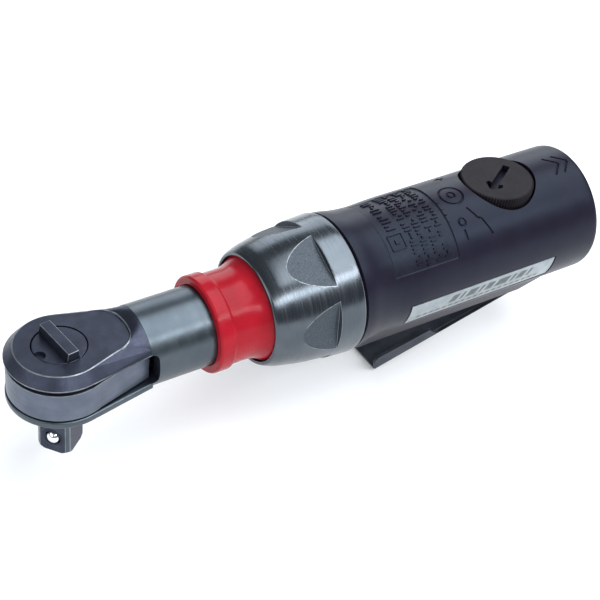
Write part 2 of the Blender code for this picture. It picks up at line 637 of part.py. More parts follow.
def make_handle():
    """Moulded handle that holds the motor, the valves, the lever and the air inlet."""
    outer = [(75.5, 16.4), (76.0, 16.9), (83.6, 16.9), (HANDLE_FRONT, 17.5), (HANDLE_FRONT, 20.0),
             (84.4, 20.4), (87.0, 20.1), (91.0, 19.4), (96.0, 19.0), (101.0, 19.1),
             (106.0, LABEL_RADIUS), (140.0, LABEL_RADIUS), (160.0, 19.5), (168.6, 19.5),
             (169.6, 19.1), (HANDLE_REAR, 18.3)]
    inner = [(HANDLE_REAR, 15.6), (160.0, 15.6), (160.0, 8.2), (HANDLE_REAR, 8.2),
             (HANDLE_REAR, INLET_BORE), (132.0, INLET_BORE), (132.0, 2.5), (118.0, 2.5),
             (118.0, MOTOR_BORE), (75.5, MOTOR_BORE)]
    handle = turned("handle_housing", outer + inner, HANDLE_COMPOSITE)
    keel = hull("handle_keel", keel_section(86.0, 18.3, 18.6) + keel_section(92.0, 18.3, KEEL_DEPTH)
                + keel_section(152.0, 18.3, KEEL_DEPTH) + keel_section(168.8, 17.6, 16.4, 6.0))
    keel_core = rod("keel_core", 80.0, HANDLE_REAR + 2, 17.0)
    cut(keel, keel_core)
    join(handle, keel)
    seat = [(2.0, 0), (2.0, 3.8), (12.9, 3.8), (12.9, REGULATOR_RADIUS + 0.6),
            (24.0, REGULATOR_RADIUS + 0.6), (24.0, 0)]
    regulator_seat = turned("regulator_seat", seat, facing="Z", centre=(REGULATOR_X, 0, 0))
    valve_bore = rod("valve_bore", -26.0, -2.0, VALVE_BORE, facing="Z", centre=(VALVE_X, 0, 0),
                     segments=SMALL_SEGMENTS)
    pocket_side = [(149.4, -26.0), (167.0, -26.0), (167.0, -15.1), (152.0, -15.1),
                   (152.0, -20.0), (149.4, -20.0)]
    lever_pocket = prism("lever_pocket", [pocket_side], -8.1, 8.1, facing="Y")
    pin_hole = rod("lever_pin_hole", -14.0, 9.3, 1.5, facing="Y",
                   centre=(LEVER_PIVOT.x, 0, LEVER_PIVOT.y), segments=PIN_SEGMENTS)
    cut(handle, lever_pocket, valve_bore, regulator_seat, pin_hole)
    for side in (-1, 1):
        cut(handle, rod("exhaust_channel_" + ("a" if side < 0 else "b"), 117.0, 161.0, 2.2,
                        centre=(0, side * 11.0, 0), segments=PIN_SEGMENTS))
    recess = label_shape("label_recess", LABEL_RADIUS - 0.6, LABEL_RADIUS + 1.5, -0.3)
    cut(handle, recess)


def label_shape(name, inner, outer, inset, material=None):
    """Curved plate on the handle's near side, smaller than the label area by its inset."""
    turn = inset / LABEL_RADIUS
    first = LABEL_ANGLES[0] + turn
    last = LABEL_ANGLES[1] - turn
    outline = arc(outer, first, last, 7) + arc(inner, last, first, 7)
    return prism(name, [outline], LABEL_SPAN[0] + inset, LABEL_SPAN[1] - inset, material)


def make_regulator():
    """Air regulator knob with its stem, and the seal on the stem."""
    outline = [(7.0, 0), (7.0, 3.0), (8.4, 3.2), (9.2, 3.2), (9.2, 2.2), (10.9, 2.2), (10.9, 3.2),
               (13.2, 3.2), (13.2, REGULATOR_RADIUS), (REGULATOR_TOP - 0.4, REGULATOR_RADIUS),
               (REGULATOR_TOP, REGULATOR_RADIUS - 0.4), (REGULATOR_TOP, 0)]
    knob = turned("regulator_knob", outline, KNOB_PLASTIC, centre=(REGULATOR_X, 0, 0), facing="Z")
    arrow = box("regulator_mark", (-6.8, -1.0, REGULATOR_TOP - 0.6), (6.8, 1.0, REGULATOR_TOP + 1.0),
                centre=(REGULATOR_X + 0.5, -0.3, 0), turn=math.radians(33.0))
    cut(knob, arrow)
    ring("regulator_seal", 9.5, 10.6, 3.5, 2.5, SEAL_RUBBER, facing="Z",
         centre=(REGULATOR_X, 0, 0), segments=SMALL_SEGMENTS)


def make_lever():
    """Bent sheet lever: a web with a short flange at each side, on a cross pin."""
    along = Vector((math.cos(LEVER_SLOPE), math.sin(LEVER_SLOPE)))
    up = Vector((-along.y, along.x))

    def at(distance, height):
        return tuple(LEVER_TIP + along * distance + up * height)

    length = (LEVER_PIVOT - LEVER_TIP).dot(along)
    drop = (LEVER_PIVOT - LEVER_TIP).dot(up)
    eye = arc(drop, -math.pi / 2 + LEVER_SLOPE, math.pi / 2 + LEVER_SLOPE, 9, *LEVER_PIVOT)
    side = [at(0, 0)] + eye + [at(length - 5.0, drop + 0.6), at(length - 10.0, LEVER_SHEET + 0.1),
            at(24.6, LEVER_SHEET + 0.1), at(22.6, 1.6), at(20.8, 4.2), at(18.0, 4.3),
            at(2.2, 4.8), at(0.6, 4.3), at(0, 3.2)]
    lever = prism("throttle_lever", [side], -LEVER_HALF_WIDTH, LEVER_HALF_WIDTH, LEVER_PAINT, "Y")
    inside = [at(-5, LEVER_SHEET), at(length + 10, LEVER_SHEET), at(length + 10, 12), at(-5, 12)]
    inner_half = LEVER_HALF_WIDTH - LEVER_SHEET
    pin_hole = rod("lever_eye_hole", -12.0, 12.0, 1.5, facing="Y",
                   centre=(LEVER_PIVOT.x, 0, LEVER_PIVOT.y), segments=PIN_SEGMENTS)
    cut(lever, prism("lever_inside", [inside], -inner_half, inner_half, facing="Y"), pin_hole)
    rod("lever_pin", -9.4, 9.0, 1.2, BRIGHT_STEEL, chamfer=0.2, facing="Y",
        centre=(LEVER_PIVOT.x, 0, LEVER_PIVOT.y), segments=PIN_SEGMENTS)


def make_throttle_valve():
    """Valve stem with its guide, seat and spring, above the lever."""
    seat = (VALVE_X, 0, 0)
    stem = [(-23.1, 0), (-22.9, 0.8), (-22.3, 1.25), (-11.2, 1.25), (-11.2, 2.7), (-9.6, 2.7),
            (-9.3, 2.4), (-9.3, 0)]
    turned("valve_stem", stem, BRIGHT_STEEL, centre=seat, facing="Z", segments=SMALL_SEGMENTS)
    ring("valve_guide", -21.3, -14.2, VALVE_BORE - GAP, 1.55, BRASS, facing="Z", centre=seat,
         segments=SMALL_SEGMENTS)
    ring("valve_seat", -13.8, -11.5, VALVE_BORE - GAP, 1.7, SEAL_RUBBER, facing="Z", centre=seat,
         segments=SMALL_SEGMENTS)
    coil("valve_spring", -9.0, 5.7, 2.0, 0.3, 5, GEAR_STEEL, seat)


def make_inlet_and_exhaust():
    """Air inlet bushing with its screen, and the ring-shaped exhaust around it."""
    bushing = [(152.0, 5.5), (152.6, 6.0), (HANDLE_REAR + GAP, 6.0), (HANDLE_REAR + GAP, 11.0),
               (177.0, 11.0), (177.0, 5.9), (163.0, 4.9), (152.0, 4.9)]
    inlet = turned("inlet_bushing", bushing, BRIGHT_STEEL, segments=SMALL_SEGMENTS)
    hexagon = prism("inlet_hexagon", [circle(9.8, 6), circle(20, 12)], HANDLE_REAR - 1, 180)
    cut(inlet, hexagon)
    screen = [(150.2, 0), (150.2, 3.4), (151.4, 5.6), (151.7, 5.6), (151.7, 4.9), (150.8, 3.2),
              (150.8, 0)]
    turned("inlet_screen", screen, BRASS, segments=SMALL_SEGMENTS)
    ring("muffler_felt", 160.4, 165.6, 15.2, 8.6, MUFFLER_FELT)
    rim = [circle(15.3, 28), circle(8.5, 20)]
    holes = []
    for index in range(EXHAUST_HOLES):
        angle = 2 * math.pi * (index + 0.5) / EXHAUST_HOLES
        holes.append(circle(1.5, 8, across=12.0 * math.cos(angle), up=12.0 * math.sin(angle)))
    prism("exhaust_cover", rim + holes, 166.0, 168.0, HANDLE_COMPOSITE)


def make_label():
    label_shape("label_plate", LABEL_RADIUS - 0.3, LABEL_RADIUS, 0.0, LABEL_FOIL)


def shade_pieces():
    """Settle each piece's modifiers, then shade it smooth up to its sharp edges."""
    depsgraph = bpy.context.evaluated_depsgraph_get()
    pieces = [obj for obj in PARTS.objects if obj.type == "MESH"]
    meshes = [bpy.data.meshes.new_from_object(obj.evaluated_get(depsgraph)) for obj in pieces]
    for obj, mesh in zip(pieces, meshes):
        obj.modifiers.clear()
        obj.data = mesh
        mesh.name = obj.name
        mesh.shade_smooth()
        mesh.set_sharp_from_angle(angle=SHARP_ANGLE)


make_ratchet_housing()
make_yoke()
make_anvil()
make_pawls()
make_reverser()
make_drive_retention()
make_crank()
make_gears()
make_collar()
make_clamp_nut()
make_motor()
make_handle()
make_regulator()
make_lever()
make_throttle_valve()
make_inlet_and_exhaust()
make_label()
shade_pieces()
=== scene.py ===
"""Finished look of the air ratchet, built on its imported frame.

Shapes are made in millimetres, measured from the point where the drive axis crosses the
tool axis, and are put into the frame by settle(). Angles about the tool axis are counted
from +Y towards +Z: 90 degrees is the top of the tool, 180 degrees its near side.
"""

import json
import math
import random

import bmesh
import bpy
from mathutils import Matrix, Vector


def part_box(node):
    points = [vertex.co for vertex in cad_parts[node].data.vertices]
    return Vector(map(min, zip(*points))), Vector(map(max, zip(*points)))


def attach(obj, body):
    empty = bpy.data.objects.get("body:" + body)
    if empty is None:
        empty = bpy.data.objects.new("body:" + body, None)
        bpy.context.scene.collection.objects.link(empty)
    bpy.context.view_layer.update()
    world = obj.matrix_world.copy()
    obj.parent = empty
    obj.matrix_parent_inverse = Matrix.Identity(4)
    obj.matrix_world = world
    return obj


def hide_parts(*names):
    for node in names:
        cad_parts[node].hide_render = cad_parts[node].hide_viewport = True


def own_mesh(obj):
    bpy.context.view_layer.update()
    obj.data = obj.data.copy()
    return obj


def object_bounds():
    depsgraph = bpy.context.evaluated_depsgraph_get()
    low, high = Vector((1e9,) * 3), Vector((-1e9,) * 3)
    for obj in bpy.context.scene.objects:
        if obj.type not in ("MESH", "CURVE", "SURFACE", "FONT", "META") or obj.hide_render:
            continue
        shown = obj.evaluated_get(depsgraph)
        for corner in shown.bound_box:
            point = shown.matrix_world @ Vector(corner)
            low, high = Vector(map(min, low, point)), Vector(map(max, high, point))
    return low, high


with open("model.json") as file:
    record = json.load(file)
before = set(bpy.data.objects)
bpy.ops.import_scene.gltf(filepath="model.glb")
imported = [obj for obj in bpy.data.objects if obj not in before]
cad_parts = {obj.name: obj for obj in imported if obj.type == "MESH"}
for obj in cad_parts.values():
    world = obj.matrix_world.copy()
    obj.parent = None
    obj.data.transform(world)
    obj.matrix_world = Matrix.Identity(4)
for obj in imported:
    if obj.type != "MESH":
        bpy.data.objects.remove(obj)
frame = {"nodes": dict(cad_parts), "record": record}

CAD_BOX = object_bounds()
MM = 0.001
GAP = 0.3
SEGMENTS = 144
SMOOTH_BELOW = math.radians(32.0)
NUT_LOW, NUT_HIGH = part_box("clamp_nut")
CROSSING = Vector((0, 0, (NUT_LOW.z + NUT_HIGH.z) / 2))


def extent(node):
    """Lowest and highest corner of a CAD node, in millimetres from the crossing of the axes."""
    low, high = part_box(node)
    return (low - CROSSING) / MM, (high - CROSSING) / MM


# Head
HEAD_RADIUS = -extent("ratchet_housing")[0].x
BAR_HEIGHT = 2.7
HEAD_TOP = extent("reverser_knob")[1].z - BAR_HEIGHT
FLAT_FRONT_RADIUS = 12.1
FLAT_CORNER_X = 11.7
FLAT_CORNER_SIDE = 1.6
FLAT_CORNER_RADIUS = 7.0
SLOPE_FOOT = HEAD_TOP - 3.1
SLOT_HALF_HEIGHT = 5.0
SLOT_END = 23.6
ARM_END = SLOT_END - 1.2
HEAD_BOTTOM = -8.2
NECK_RADIUS = 11.6
DISC_RADIUS = 7.2
YOKE_TEETH = 30

# Square drive
SQUARE = 9.5
SQUARE_TURN = math.radians(218.5)
DRIVE_END = extent("drive_anvil")[0].z
BALL_HEIGHT = DRIVE_END + 5.0

# Clamp nut and collar
NUT_FRONT = extent("clamp_nut")[0].x
NUT_REAR = extent("clamp_nut")[1].x
NUT_RADIUS = extent("clamp_nut")[1].y
MOUTH_RADIUS = 15.5
COLLAR_RIM = 14.1
FLAT_DISTANCE = 18.65
FLAT_HALF_WIDTH = 12.0
FLAT_REAR = NUT_REAR - 8.0
FLAT_TURN = math.radians(176.0)

# Handle
HANDLE_FRONT = NUT_REAR + GAP
HANDLE_REAR = extent("handle_housing")[1].x
GRIP_RADIUS = 19.3
KEEL_RADIUS = 18.3
KEEL_DROP = 19.5
DIAL_LOW, DIAL_HIGH = extent("regulator_knob")
DIAL_X = (DIAL_LOW.x + DIAL_HIGH.x) / 2
DIAL_RADIUS = (DIAL_HIGH.x - DIAL_LOW.x) / 2
DIAL_TEETH = 78
VALVE_X = (extent("valve_stem")[0].x + extent("valve_stem")[1].x) / 2
LABEL_LOW, LABEL_HIGH = extent("label_plate")
LABEL_ANGLES = (math.radians(184.0), math.radians(209.0))
PANEL_STATIONS = (95.0, 117.6)
PANEL_ANGLES = (math.radians(60.0), math.radians(151.5))
PANEL_FLOOR = GRIP_RADIUS - 0.4
MARK_RADIUS = 0.42
MARK_LIFT = -0.08

# Lever, in the plane of X and Z
PIN_LOW, PIN_HIGH = extent("lever_pin")
LEVER_PIVOT = Vector(((PIN_LOW.x + PIN_HIGH.x) / 2, (PIN_LOW.z + PIN_HIGH.z) / 2))
LEVER_TIP = Vector((101.2, extent("throttle_lever")[0].z))
LEVER_SLOPE = math.radians(13.8)
LEVER_HALF_WIDTH = extent("throttle_lever")[1].y
LEVER_SHEET = 1.0

FLOOR_GLOW = 0.17


# ---------------------------------------------------------------- materials

def add_node(tree, kind, **values):
    """Shader node with its sockets or its settings given by name."""
    node = tree.nodes.new("ShaderNode" + kind)
    for key, value in values.items():
        if key in node.inputs:
            node.inputs[key].default_value = value
        else:
            setattr(node, key, value)
    return node


def new_shader(name, **sockets):
    """Material with a Principled shader; underscores in a socket's name stand for spaces."""
    made = bpy.data.materials.new(name)
    made.use_nodes = True
    shader = made.node_tree.nodes["Principled BSDF"]
    for key, value in sockets.items():
        shader.inputs[key.replace("_", " ")].default_value = value
    return made, made.node_tree, shader


def two_tones(tree, factor, dark, light):
    """Colour that runs from a dark to a light tone with a factor."""
    ramp = add_node(tree, "ValToRGB")
    for element, position, tone in zip(ramp.color_ramp.elements, (0.35, 0.65), (dark, light)):
        element.position = position
        element.color = (*tone, 1)
    tree.links.new(factor, ramp.inputs["Fac"])
    return ramp.outputs["Color"]


def spread(tree, factor, low, high):
    """Bring a noise value into a range."""
    node = add_node(tree, "MapRange")
    node.inputs["From Min"].default_value = 0.3
    node.inputs["From Max"].default_value = 0.7
    node.inputs["To Min"].default_value = low
    node.inputs["To Max"].default_value = high
    tree.links.new(factor, node.inputs["Value"])
    return node.outputs["Result"]


def noise(tree, scale, detail, stretch=(1, 1, 1)):
    """Noise over the object, in features per metre, stretched along its axes."""
    coordinates = add_node(tree, "TexCoord")
    mapping = add_node(tree, "Mapping", Scale=stretch)
    texture = add_node(tree, "TexNoise", Scale=scale, Detail=detail)
    tree.links.new(coordinates.outputs["Object"], mapping.inputs["Vector"])
    tree.links.new(mapping.outputs["Vector"], texture.inputs["Vector"])
    return texture.outputs["Fac"]


def surface(name, dark, light, roughness, patch=160, grain=2500, stretch=(1, 1, 1),
            relief=0.15, depth=0.02, rough_spread=0.08, **sockets):
    """Mottled surface: patches of two tones, and a finer grain in roughness and relief."""
    made, tree, shader = new_shader(name, **sockets)
    patches = noise(tree, patch, 4.0)
    fine = noise(tree, grain, 2.0, stretch)
    tree.links.new(two_tones(tree, patches, dark, light), shader.inputs["Base Color"])
    tree.links.new(spread(tree, fine, roughness - rough_spread, roughness + rough_spread),
                   shader.inputs["Roughness"])
    bump = add_node(tree, "Bump", Strength=relief, Distance=depth * MM)
    tree.links.new(fine, bump.inputs["Height"])
    tree.links.new(bump.outputs["Normal"], shader.inputs["Normal"])
    return made


TURNED = (1.0, 0.03, 0.03)
GROUND = (0.04, 0.04, 1.0)

FORGED_STEEL = surface("forged_steel", (0.035, 0.039, 0.06), (0.05, 0.056, 0.083), 0.42,
                       patch=220, grain=1800, relief=0.2, depth=0.02, Metallic=0.85)
NECK_STEEL = surface("neck_steel", (0.066, 0.08, 0.094), (0.084, 0.1, 0.115), 0.33,
                     patch=120, grain=1800, stretch=TURNED, relief=0.12, rough_spread=0.04,
                     Metallic=0.95)
GROUND_STEEL = surface("ground_steel", (0.098, 0.114, 0.15), (0.127, 0.144, 0.186), 0.42,
                       patch=200, grain=3000, stretch=GROUND, relief=0.2, Metallic=0.9)
TURNED_STEEL = surface("turned_steel", (0.08, 0.093, 0.106), (0.105, 0.118, 0.134), 0.24,
                       patch=90, grain=2400, stretch=TURNED, relief=0.15, rough_spread=0.05,
                       Metallic=1.0)
BLASTED_STEEL = surface("blasted_steel", (0.05, 0.06, 0.073), (0.085, 0.1, 0.117), 0.58,
                        patch=3200, grain=2600, relief=0.6, depth=0.05, Metallic=0.85)
WORN_STEEL = surface("worn_steel", (0.17, 0.185, 0.21), (0.28, 0.3, 0.32), 0.42,
                     patch=500, grain=3000, Metallic=0.9)
BRIGHT_STEEL = surface("bright_steel_finish", (0.5, 0.5, 0.52), (0.62, 0.62, 0.64), 0.2,
                       patch=150, grain=3000, relief=0.08, Metallic=1.0)
GEAR_STEEL = surface("gear_steel_finish", (0.28, 0.28, 0.3), (0.4, 0.4, 0.42), 0.36,
                     patch=300, grain=2500, Metallic=1.0)
BALL_STEEL = surface("ball_steel", (0.8, 0.81, 0.83), (0.88, 0.89, 0.9), 0.1,
                     patch=300, grain=3000, relief=0.02, rough_spread=0.03, Metallic=1.0)
RED_PLASTIC = surface("red_plastic_finish", (0.29, 0.007, 0.015), (0.35, 0.0098, 0.02), 0.2,
                      patch=130, grain=2400, relief=0.5, depth=0.03, Specular_IOR_Level=0.12)
COMPOSITE = surface("moulded_composite", (0.0088, 0.0064, 0.0138), (0.0118, 0.0086, 0.018), 0.36,
                    patch=140, grain=3200, relief=0.15, depth=0.02, rough_spread=0.05,
                    Specular_IOR_Level=0.18, Specular_Tint=(0.55, 0.78, 1.0, 1))
PANEL_COMPOSITE = surface("panel_composite", (0.0074, 0.0056, 0.0112), (0.0104, 0.008, 0.015), 0.42,
                          patch=200, grain=2600, relief=0.3, depth=0.03,
                          Specular_IOR_Level=0.22, Specular_Tint=(0.55, 0.78, 1.0, 1))
DIAL_PLASTIC = surface("dial_plastic", (0.008, 0.0062, 0.0088), (0.0115, 0.009, 0.0125), 0.55,
                       patch=300, grain=3000, relief=0.35, depth=0.03, Specular_IOR_Level=0.16)
LEVER_COAT = surface("lever_coat", (0.038, 0.043, 0.058), (0.058, 0.066, 0.084), 0.4,
                     patch=200, grain=2200, relief=0.3, depth=0.03, Metallic=0.55)
LABEL_FOIL = surface("label_foil_finish", (0.24, 0.27, 0.29), (0.32, 0.35, 0.37), 0.38,
                     patch=260, grain=2600, stretch=(0.05, 1, 1), relief=0.15, Metallic=0.7)
LABEL_INK = surface("label_ink", (0.05, 0.062, 0.066), (0.09, 0.105, 0.11), 0.5,
                    patch=700, grain=2600, relief=0.1)
VANE_LAMINATE = surface("vane_laminate_finish", (0.2, 0.09, 0.04), (0.3, 0.15, 0.07), 0.6,
                        patch=600, grain=1800, stretch=(0.1, 1, 1))
SEAL_RUBBER = surface("seal_rubber_finish", (0.012, 0.012, 0.012), (0.025, 0.025, 0.025), 0.65,
                      patch=500, grain=2200, relief=0.3)
MUFFLER_FELT = surface("muffler_felt_finish", (0.26, 0.25, 0.23), (0.44, 0.42, 0.39), 0.9,
                       patch=1500, grain=1400, relief=0.9, depth=0.2)
MOTOR_IRON = surface("motor_iron_finish", (0.22, 0.22, 0.23), (0.32, 0.32, 0.33), 0.5,
                     patch=400, grain=1500, relief=0.4, Metallic=0.95)
BRASS = surface("brass_finish", (0.56, 0.38, 0.12), (0.7, 0.5, 0.2), 0.3,
                patch=200, grain=2600, Metallic=1.0)

CAD_FINISHES = {
    "black_steel": FORGED_STEEL, "yoke_steel": GROUND_STEEL, "nut_steel": TURNED_STEEL,
    "bright_steel": BRIGHT_STEEL, "gear_steel": GEAR_STEEL, "bearing_steel": BALL_STEEL,
    "red_plastic": RED_PLASTIC, "handle_composite": COMPOSITE, "knob_plastic": DIAL_PLASTIC,
    "lever_paint": LEVER_COAT, "label_foil": LABEL_FOIL, "vane_laminate": VANE_LAMINATE,
    "seal_rubber": SEAL_RUBBER, "muffler_felt": MUFFLER_FELT, "motor_iron": MOTOR_IRON,
    "brass": BRASS,
}


def finish_cad_nodes():
    """Every CAD node gets the finish of its material slot."""
    for part in frame["record"]["subparts"]:
        node = frame["nodes"][part["node"]]
        node.data.materials.clear()
        node.data.materials.append(CAD_FINISHES[part["material_slot"]])


# ---------------------------------------------------------------- shape helpers

AXES = {
    "X": Matrix(((0, 0, 1), (1, 0, 0), (0, 1, 0))).to_4x4(),
    "Y": Matrix(((1, 0, 0), (0, 0, -1), (0, 1, 0))).to_4x4(),
    "Z": Matrix.Identity(4),
}


def new_object(name, bm, *finishes, axis="Z", centre=(0, 0, 0)):
    """Object from a mesh made about its own Z axis, turned to an axis and moved."""
    bmesh.ops.transform(bm, matrix=Matrix.Translation(centre) @ AXES[axis], verts=bm.verts)
    mesh = bpy.data.meshes.new(name)
    bm.to_mesh(mesh)
    bm.free()
    for finish in finishes:
        mesh.materials.append(finish)
    obj = bpy.data.objects.new(name, mesh)
    bpy.context.scene.collection.objects.link(obj)
    return obj


def rounded(corners, steps=5):
    """Outline from (across, up, cut) corners: each corner is rounded over its cut length."""
    points = []
    for index, (across, up, cut) in enumerate(corners):
        here = Vector((across, up))
        if not cut:
            points.append(tuple(here))
            continue
        before = Vector(corners[index - 1][:2])
        after = Vector(corners[(index + 1) % len(corners)][:2])
        start = here + (before - here).normalized() * cut
        end = here + (after - here).normalized() * cut
        for step in range(steps + 1):
            t = step / steps
            points.append(tuple(start * (1 - t) ** 2 + here * 2 * t * (1 - t) + end * t ** 2))
    return points


def smooth_through(points):
    """Catmull-Rom curve through a list of points."""
    steps = 6
    ends = [points[0], *points, points[-1]]
    curve = []
    for a, b, c, d in zip(ends, ends[1:], ends[2:], ends[3:]):
        for step in range(steps):
            t = step / steps
            weights = (-t ** 3 + 2 * t ** 2 - t, 3 * t ** 3 - 5 * t ** 2 + 2,
                       -3 * t ** 3 + 4 * t ** 2 + t, t ** 3 - t ** 2)
            curve.append(tuple(sum(w * p[i] for w, p in zip(weights, (a, b, c, d))) / 2
                               for i in (0, 1)))
    return curve + [tuple(points[-1])]


def lathe(name, outline, *finishes, axis="X", centre=(0, 0, 0), segments=SEGMENTS):
    """Turn (station, radius) points; an outline that is off the axis makes a closed ring."""
    bm = bmesh.new()
    verts = [bm.verts.new((radius, 0, station)) for station, radius in outline]
    edges = [bm.edges.new(pair) for pair in zip(verts, verts[1:])]
    if outline[0][1] > 0:
        edges.append(bm.edges.new((verts[-1], verts[0])))
    bmesh.ops.spin(bm, geom=verts + edges, cent=(0, 0, 0), axis=(0, 0, 1), dvec=(0, 0, 0),
                   angle=2 * math.pi, steps=segments, use_merge=True)
    bmesh.ops.remove_doubles(bm, verts=bm.verts, dist=0.0005)
    bmesh.ops.recalc_face_normals(bm, faces=bm.faces)
    return new_object(name, bm, *finishes, axis=axis, centre=centre)


def bar(name, start, end, radius, *finishes, **place):
    """Round bar between two stations on an axis."""
    return lathe(name, [(start, 0), (start, radius), (end, radius), (end, 0)], *finishes, **place)


def block(name, low, high, *finishes, turn=None):
    """Box between two corners, with an optional turn matrix about the crossing."""
    bm = bmesh.new()
    bmesh.ops.create_cube(bm, size=1.0)
    size = Vector(high) - Vector(low)
    middle = (Vector(high) + Vector(low)) / 2
    bmesh.ops.scale(bm, vec=size, verts=bm.verts)
    bmesh.ops.translate(bm, vec=middle, verts=bm.verts)
    if turn:
        bmesh.ops.transform(bm, matrix=turn, verts=bm.verts)
    return new_object(name, bm, *finishes)


def hull(name, points, *finishes):
    """Convex body around a list of points."""
    bm = bmesh.new()
    for point in points:
        bm.verts.new(point)
    result = bmesh.ops.convex_hull(bm, input=bm.verts)
    spare = [item for item in result["geom_interior"] if isinstance(item, bmesh.types.BMVert)]
    bmesh.ops.delete(bm, geom=spare, context="VERTS")
    bmesh.ops.dissolve_limit(bm, angle_limit=math.radians(0.3), verts=bm.verts, edges=bm.edges)
    bmesh.ops.recalc_face_normals(bm, faces=bm.faces)
    return new_object(name, bm, *finishes)


def plate(name, outlines, start, end, *finishes, axis="X", centre=(0, 0, 0)):
    """Flat outline with any holes, made thick between two stations on an axis."""
    curve = bpy.data.curves.new(name, "CURVE")
    curve.dimensions = "2D"
    curve.fill_mode = "BOTH"
    curve.extrude = (end - start) / 2
    for outline in outlines:
        spline = curve.splines.new("POLY")
        spline.points.add(len(outline) - 1)
        spline.use_cyclic_u = True
        for point, (across, up) in zip(spline.points, outline):
            point.co = (across, up, 0, 1)
    bm = curve_mesh(curve)
    bmesh.ops.translate(bm, vec=(0, 0, (start + end) / 2), verts=bm.verts)
    return new_object(name, bm, *finishes, axis=axis, centre=centre)


def curve_mesh(curve):
    """Closed mesh of a filled or bevelled curve, which is then dropped."""
    guide = bpy.data.objects.new(curve.name + "_curve", curve)
    bpy.context.scene.collection.objects.link(guide)
    evaluated = guide.evaluated_get(bpy.context.evaluated_depsgraph_get())
    mesh = bpy.data.meshes.new_from_object(evaluated)
    bm = bmesh.new()
    bm.from_mesh(mesh)
    bmesh.ops.remove_doubles(bm, verts=bm.verts, dist=0.0005)
    bmesh.ops.recalc_face_normals(bm, faces=bm.faces)
    bpy.data.objects.remove(guide, do_unlink=True)
    bpy.data.meshes.remove(mesh)
    return bm


def round_string(name, path, closed, radius):
    """Round string along a path of points: a coil, or a tool that presses a line in."""
    curve = bpy.data.curves.new(name, "CURVE")
    curve.dimensions = "3D"
    curve.bevel_depth = radius
    curve.bevel_resolution = 2
    curve.use_fill_caps = True
    spline = curve.splines.new("POLY")
    spline.points.add(len(path) - 1)
    spline.use_cyclic_u = closed
    for point, place in zip(spline.points, path):
        point.co = (*place, 1)
    return new_object(name, curve_mesh(curve))


def circle(radius, count=SEGMENTS, across=0.0, up=0.0):
    """Points round a circle."""
    angles = [2 * math.pi * index / count for index in range(count)]
    return [(across + radius * math.cos(a), up + radius * math.sin(a)) for a in angles]


def arc(radius, first, last, count, across=0.0, up=0.0):
    """Points along an arc, with both of its ends."""
    angles = [first + (last - first) * index / (count - 1) for index in range(count)]
    return [(across + radius * math.cos(a), up + radius * math.sin(a)) for a in angles]


def boolean(obj, operation, *tools):
    """Boolean with each tool; faces that a tool leaves behind keep the tool's finish."""
    for tool in tools:
        modifier = obj.modifiers.new("shape", "BOOLEAN")
        modifier.operation = operation
        modifier.solver = "MANIFOLD"
        modifier.material_mode = "TRANSFER"
        modifier.object = tool


def cut(obj, *tools):
    boolean(obj, "DIFFERENCE", *tools)


def join(obj, *tools):
    boolean(obj, "UNION", *tools)


def apply_shape(obj):
    """Make the modifiers final and drop the tools that they used."""
    bpy.context.view_layer.update()
    evaluated = obj.evaluated_get(bpy.context.evaluated_depsgraph_get())
    tools = {m.object for m in obj.modifiers if m.type == "BOOLEAN"}
    obj.data = bpy.data.meshes.new_from_object(evaluated)
    obj.modifiers.clear()
    for tool in tools:
        bpy.data.objects.remove(tool, do_unlink=True)


def break_edges(obj, width, angle=30.0, finish=None, segments=2):
    """Small bevel on sharp edges, in its own finish where the edges are worn."""
    bevel = obj.modifiers.new("edges", "BEVEL")
    bevel.width = width
    bevel.segments = segments
    bevel.limit_method = "ANGLE"
    bevel.angle_limit = math.radians(angle)
    bevel.use_clamp_overlap = False
    if finish:
        if finish.name not in obj.data.materials:
            obj.data.materials.append(finish)
        bevel.material = obj.data.materials.find(finish.name)
    apply_shape(obj)


def settle(obj, body, slot, *nodes):
    """Bring a finished shape from millimetres into the frame, on its body."""
    apply_shape(obj)
    mesh = obj.data
    mesh.name = obj.name
    mesh.transform(Matrix.Translation(CROSSING) @ Matrix.Scale(MM, 4))
    mesh.shade_smooth()
    mesh.set_sharp_from_angle(angle=SMOOTH_BELOW)
    normals = obj.modifiers.new("even_shading", "WEIGHTED_NORMAL")
    normals.keep_sharp = True
    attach(obj, body)
    if nodes:
        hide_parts(*nodes)
    return obj


# ---------------------------------------------------------------- head

def arm_level(front, half_width, height):
    """Points of one level of a fork arm: its round front, and its square end in the neck."""
    corners = [(ARM_END, side * half_width) for side in (-1, 1)]
    return [(x, y, height) for x, y in circle(front) + corners]


def flat_level():
    """Points of the flat on top of the head, with its two rounded rear corners."""
    points = circle(FLAT_FRONT_RADIUS)
    for side in (-1, 1):
        points += circle(FLAT_CORNER_RADIUS, across=FLAT_CORNER_X, up=side * FLAT_CORNER_SIDE)
    return [(x, y, HEAD_TOP) for x, y in points]


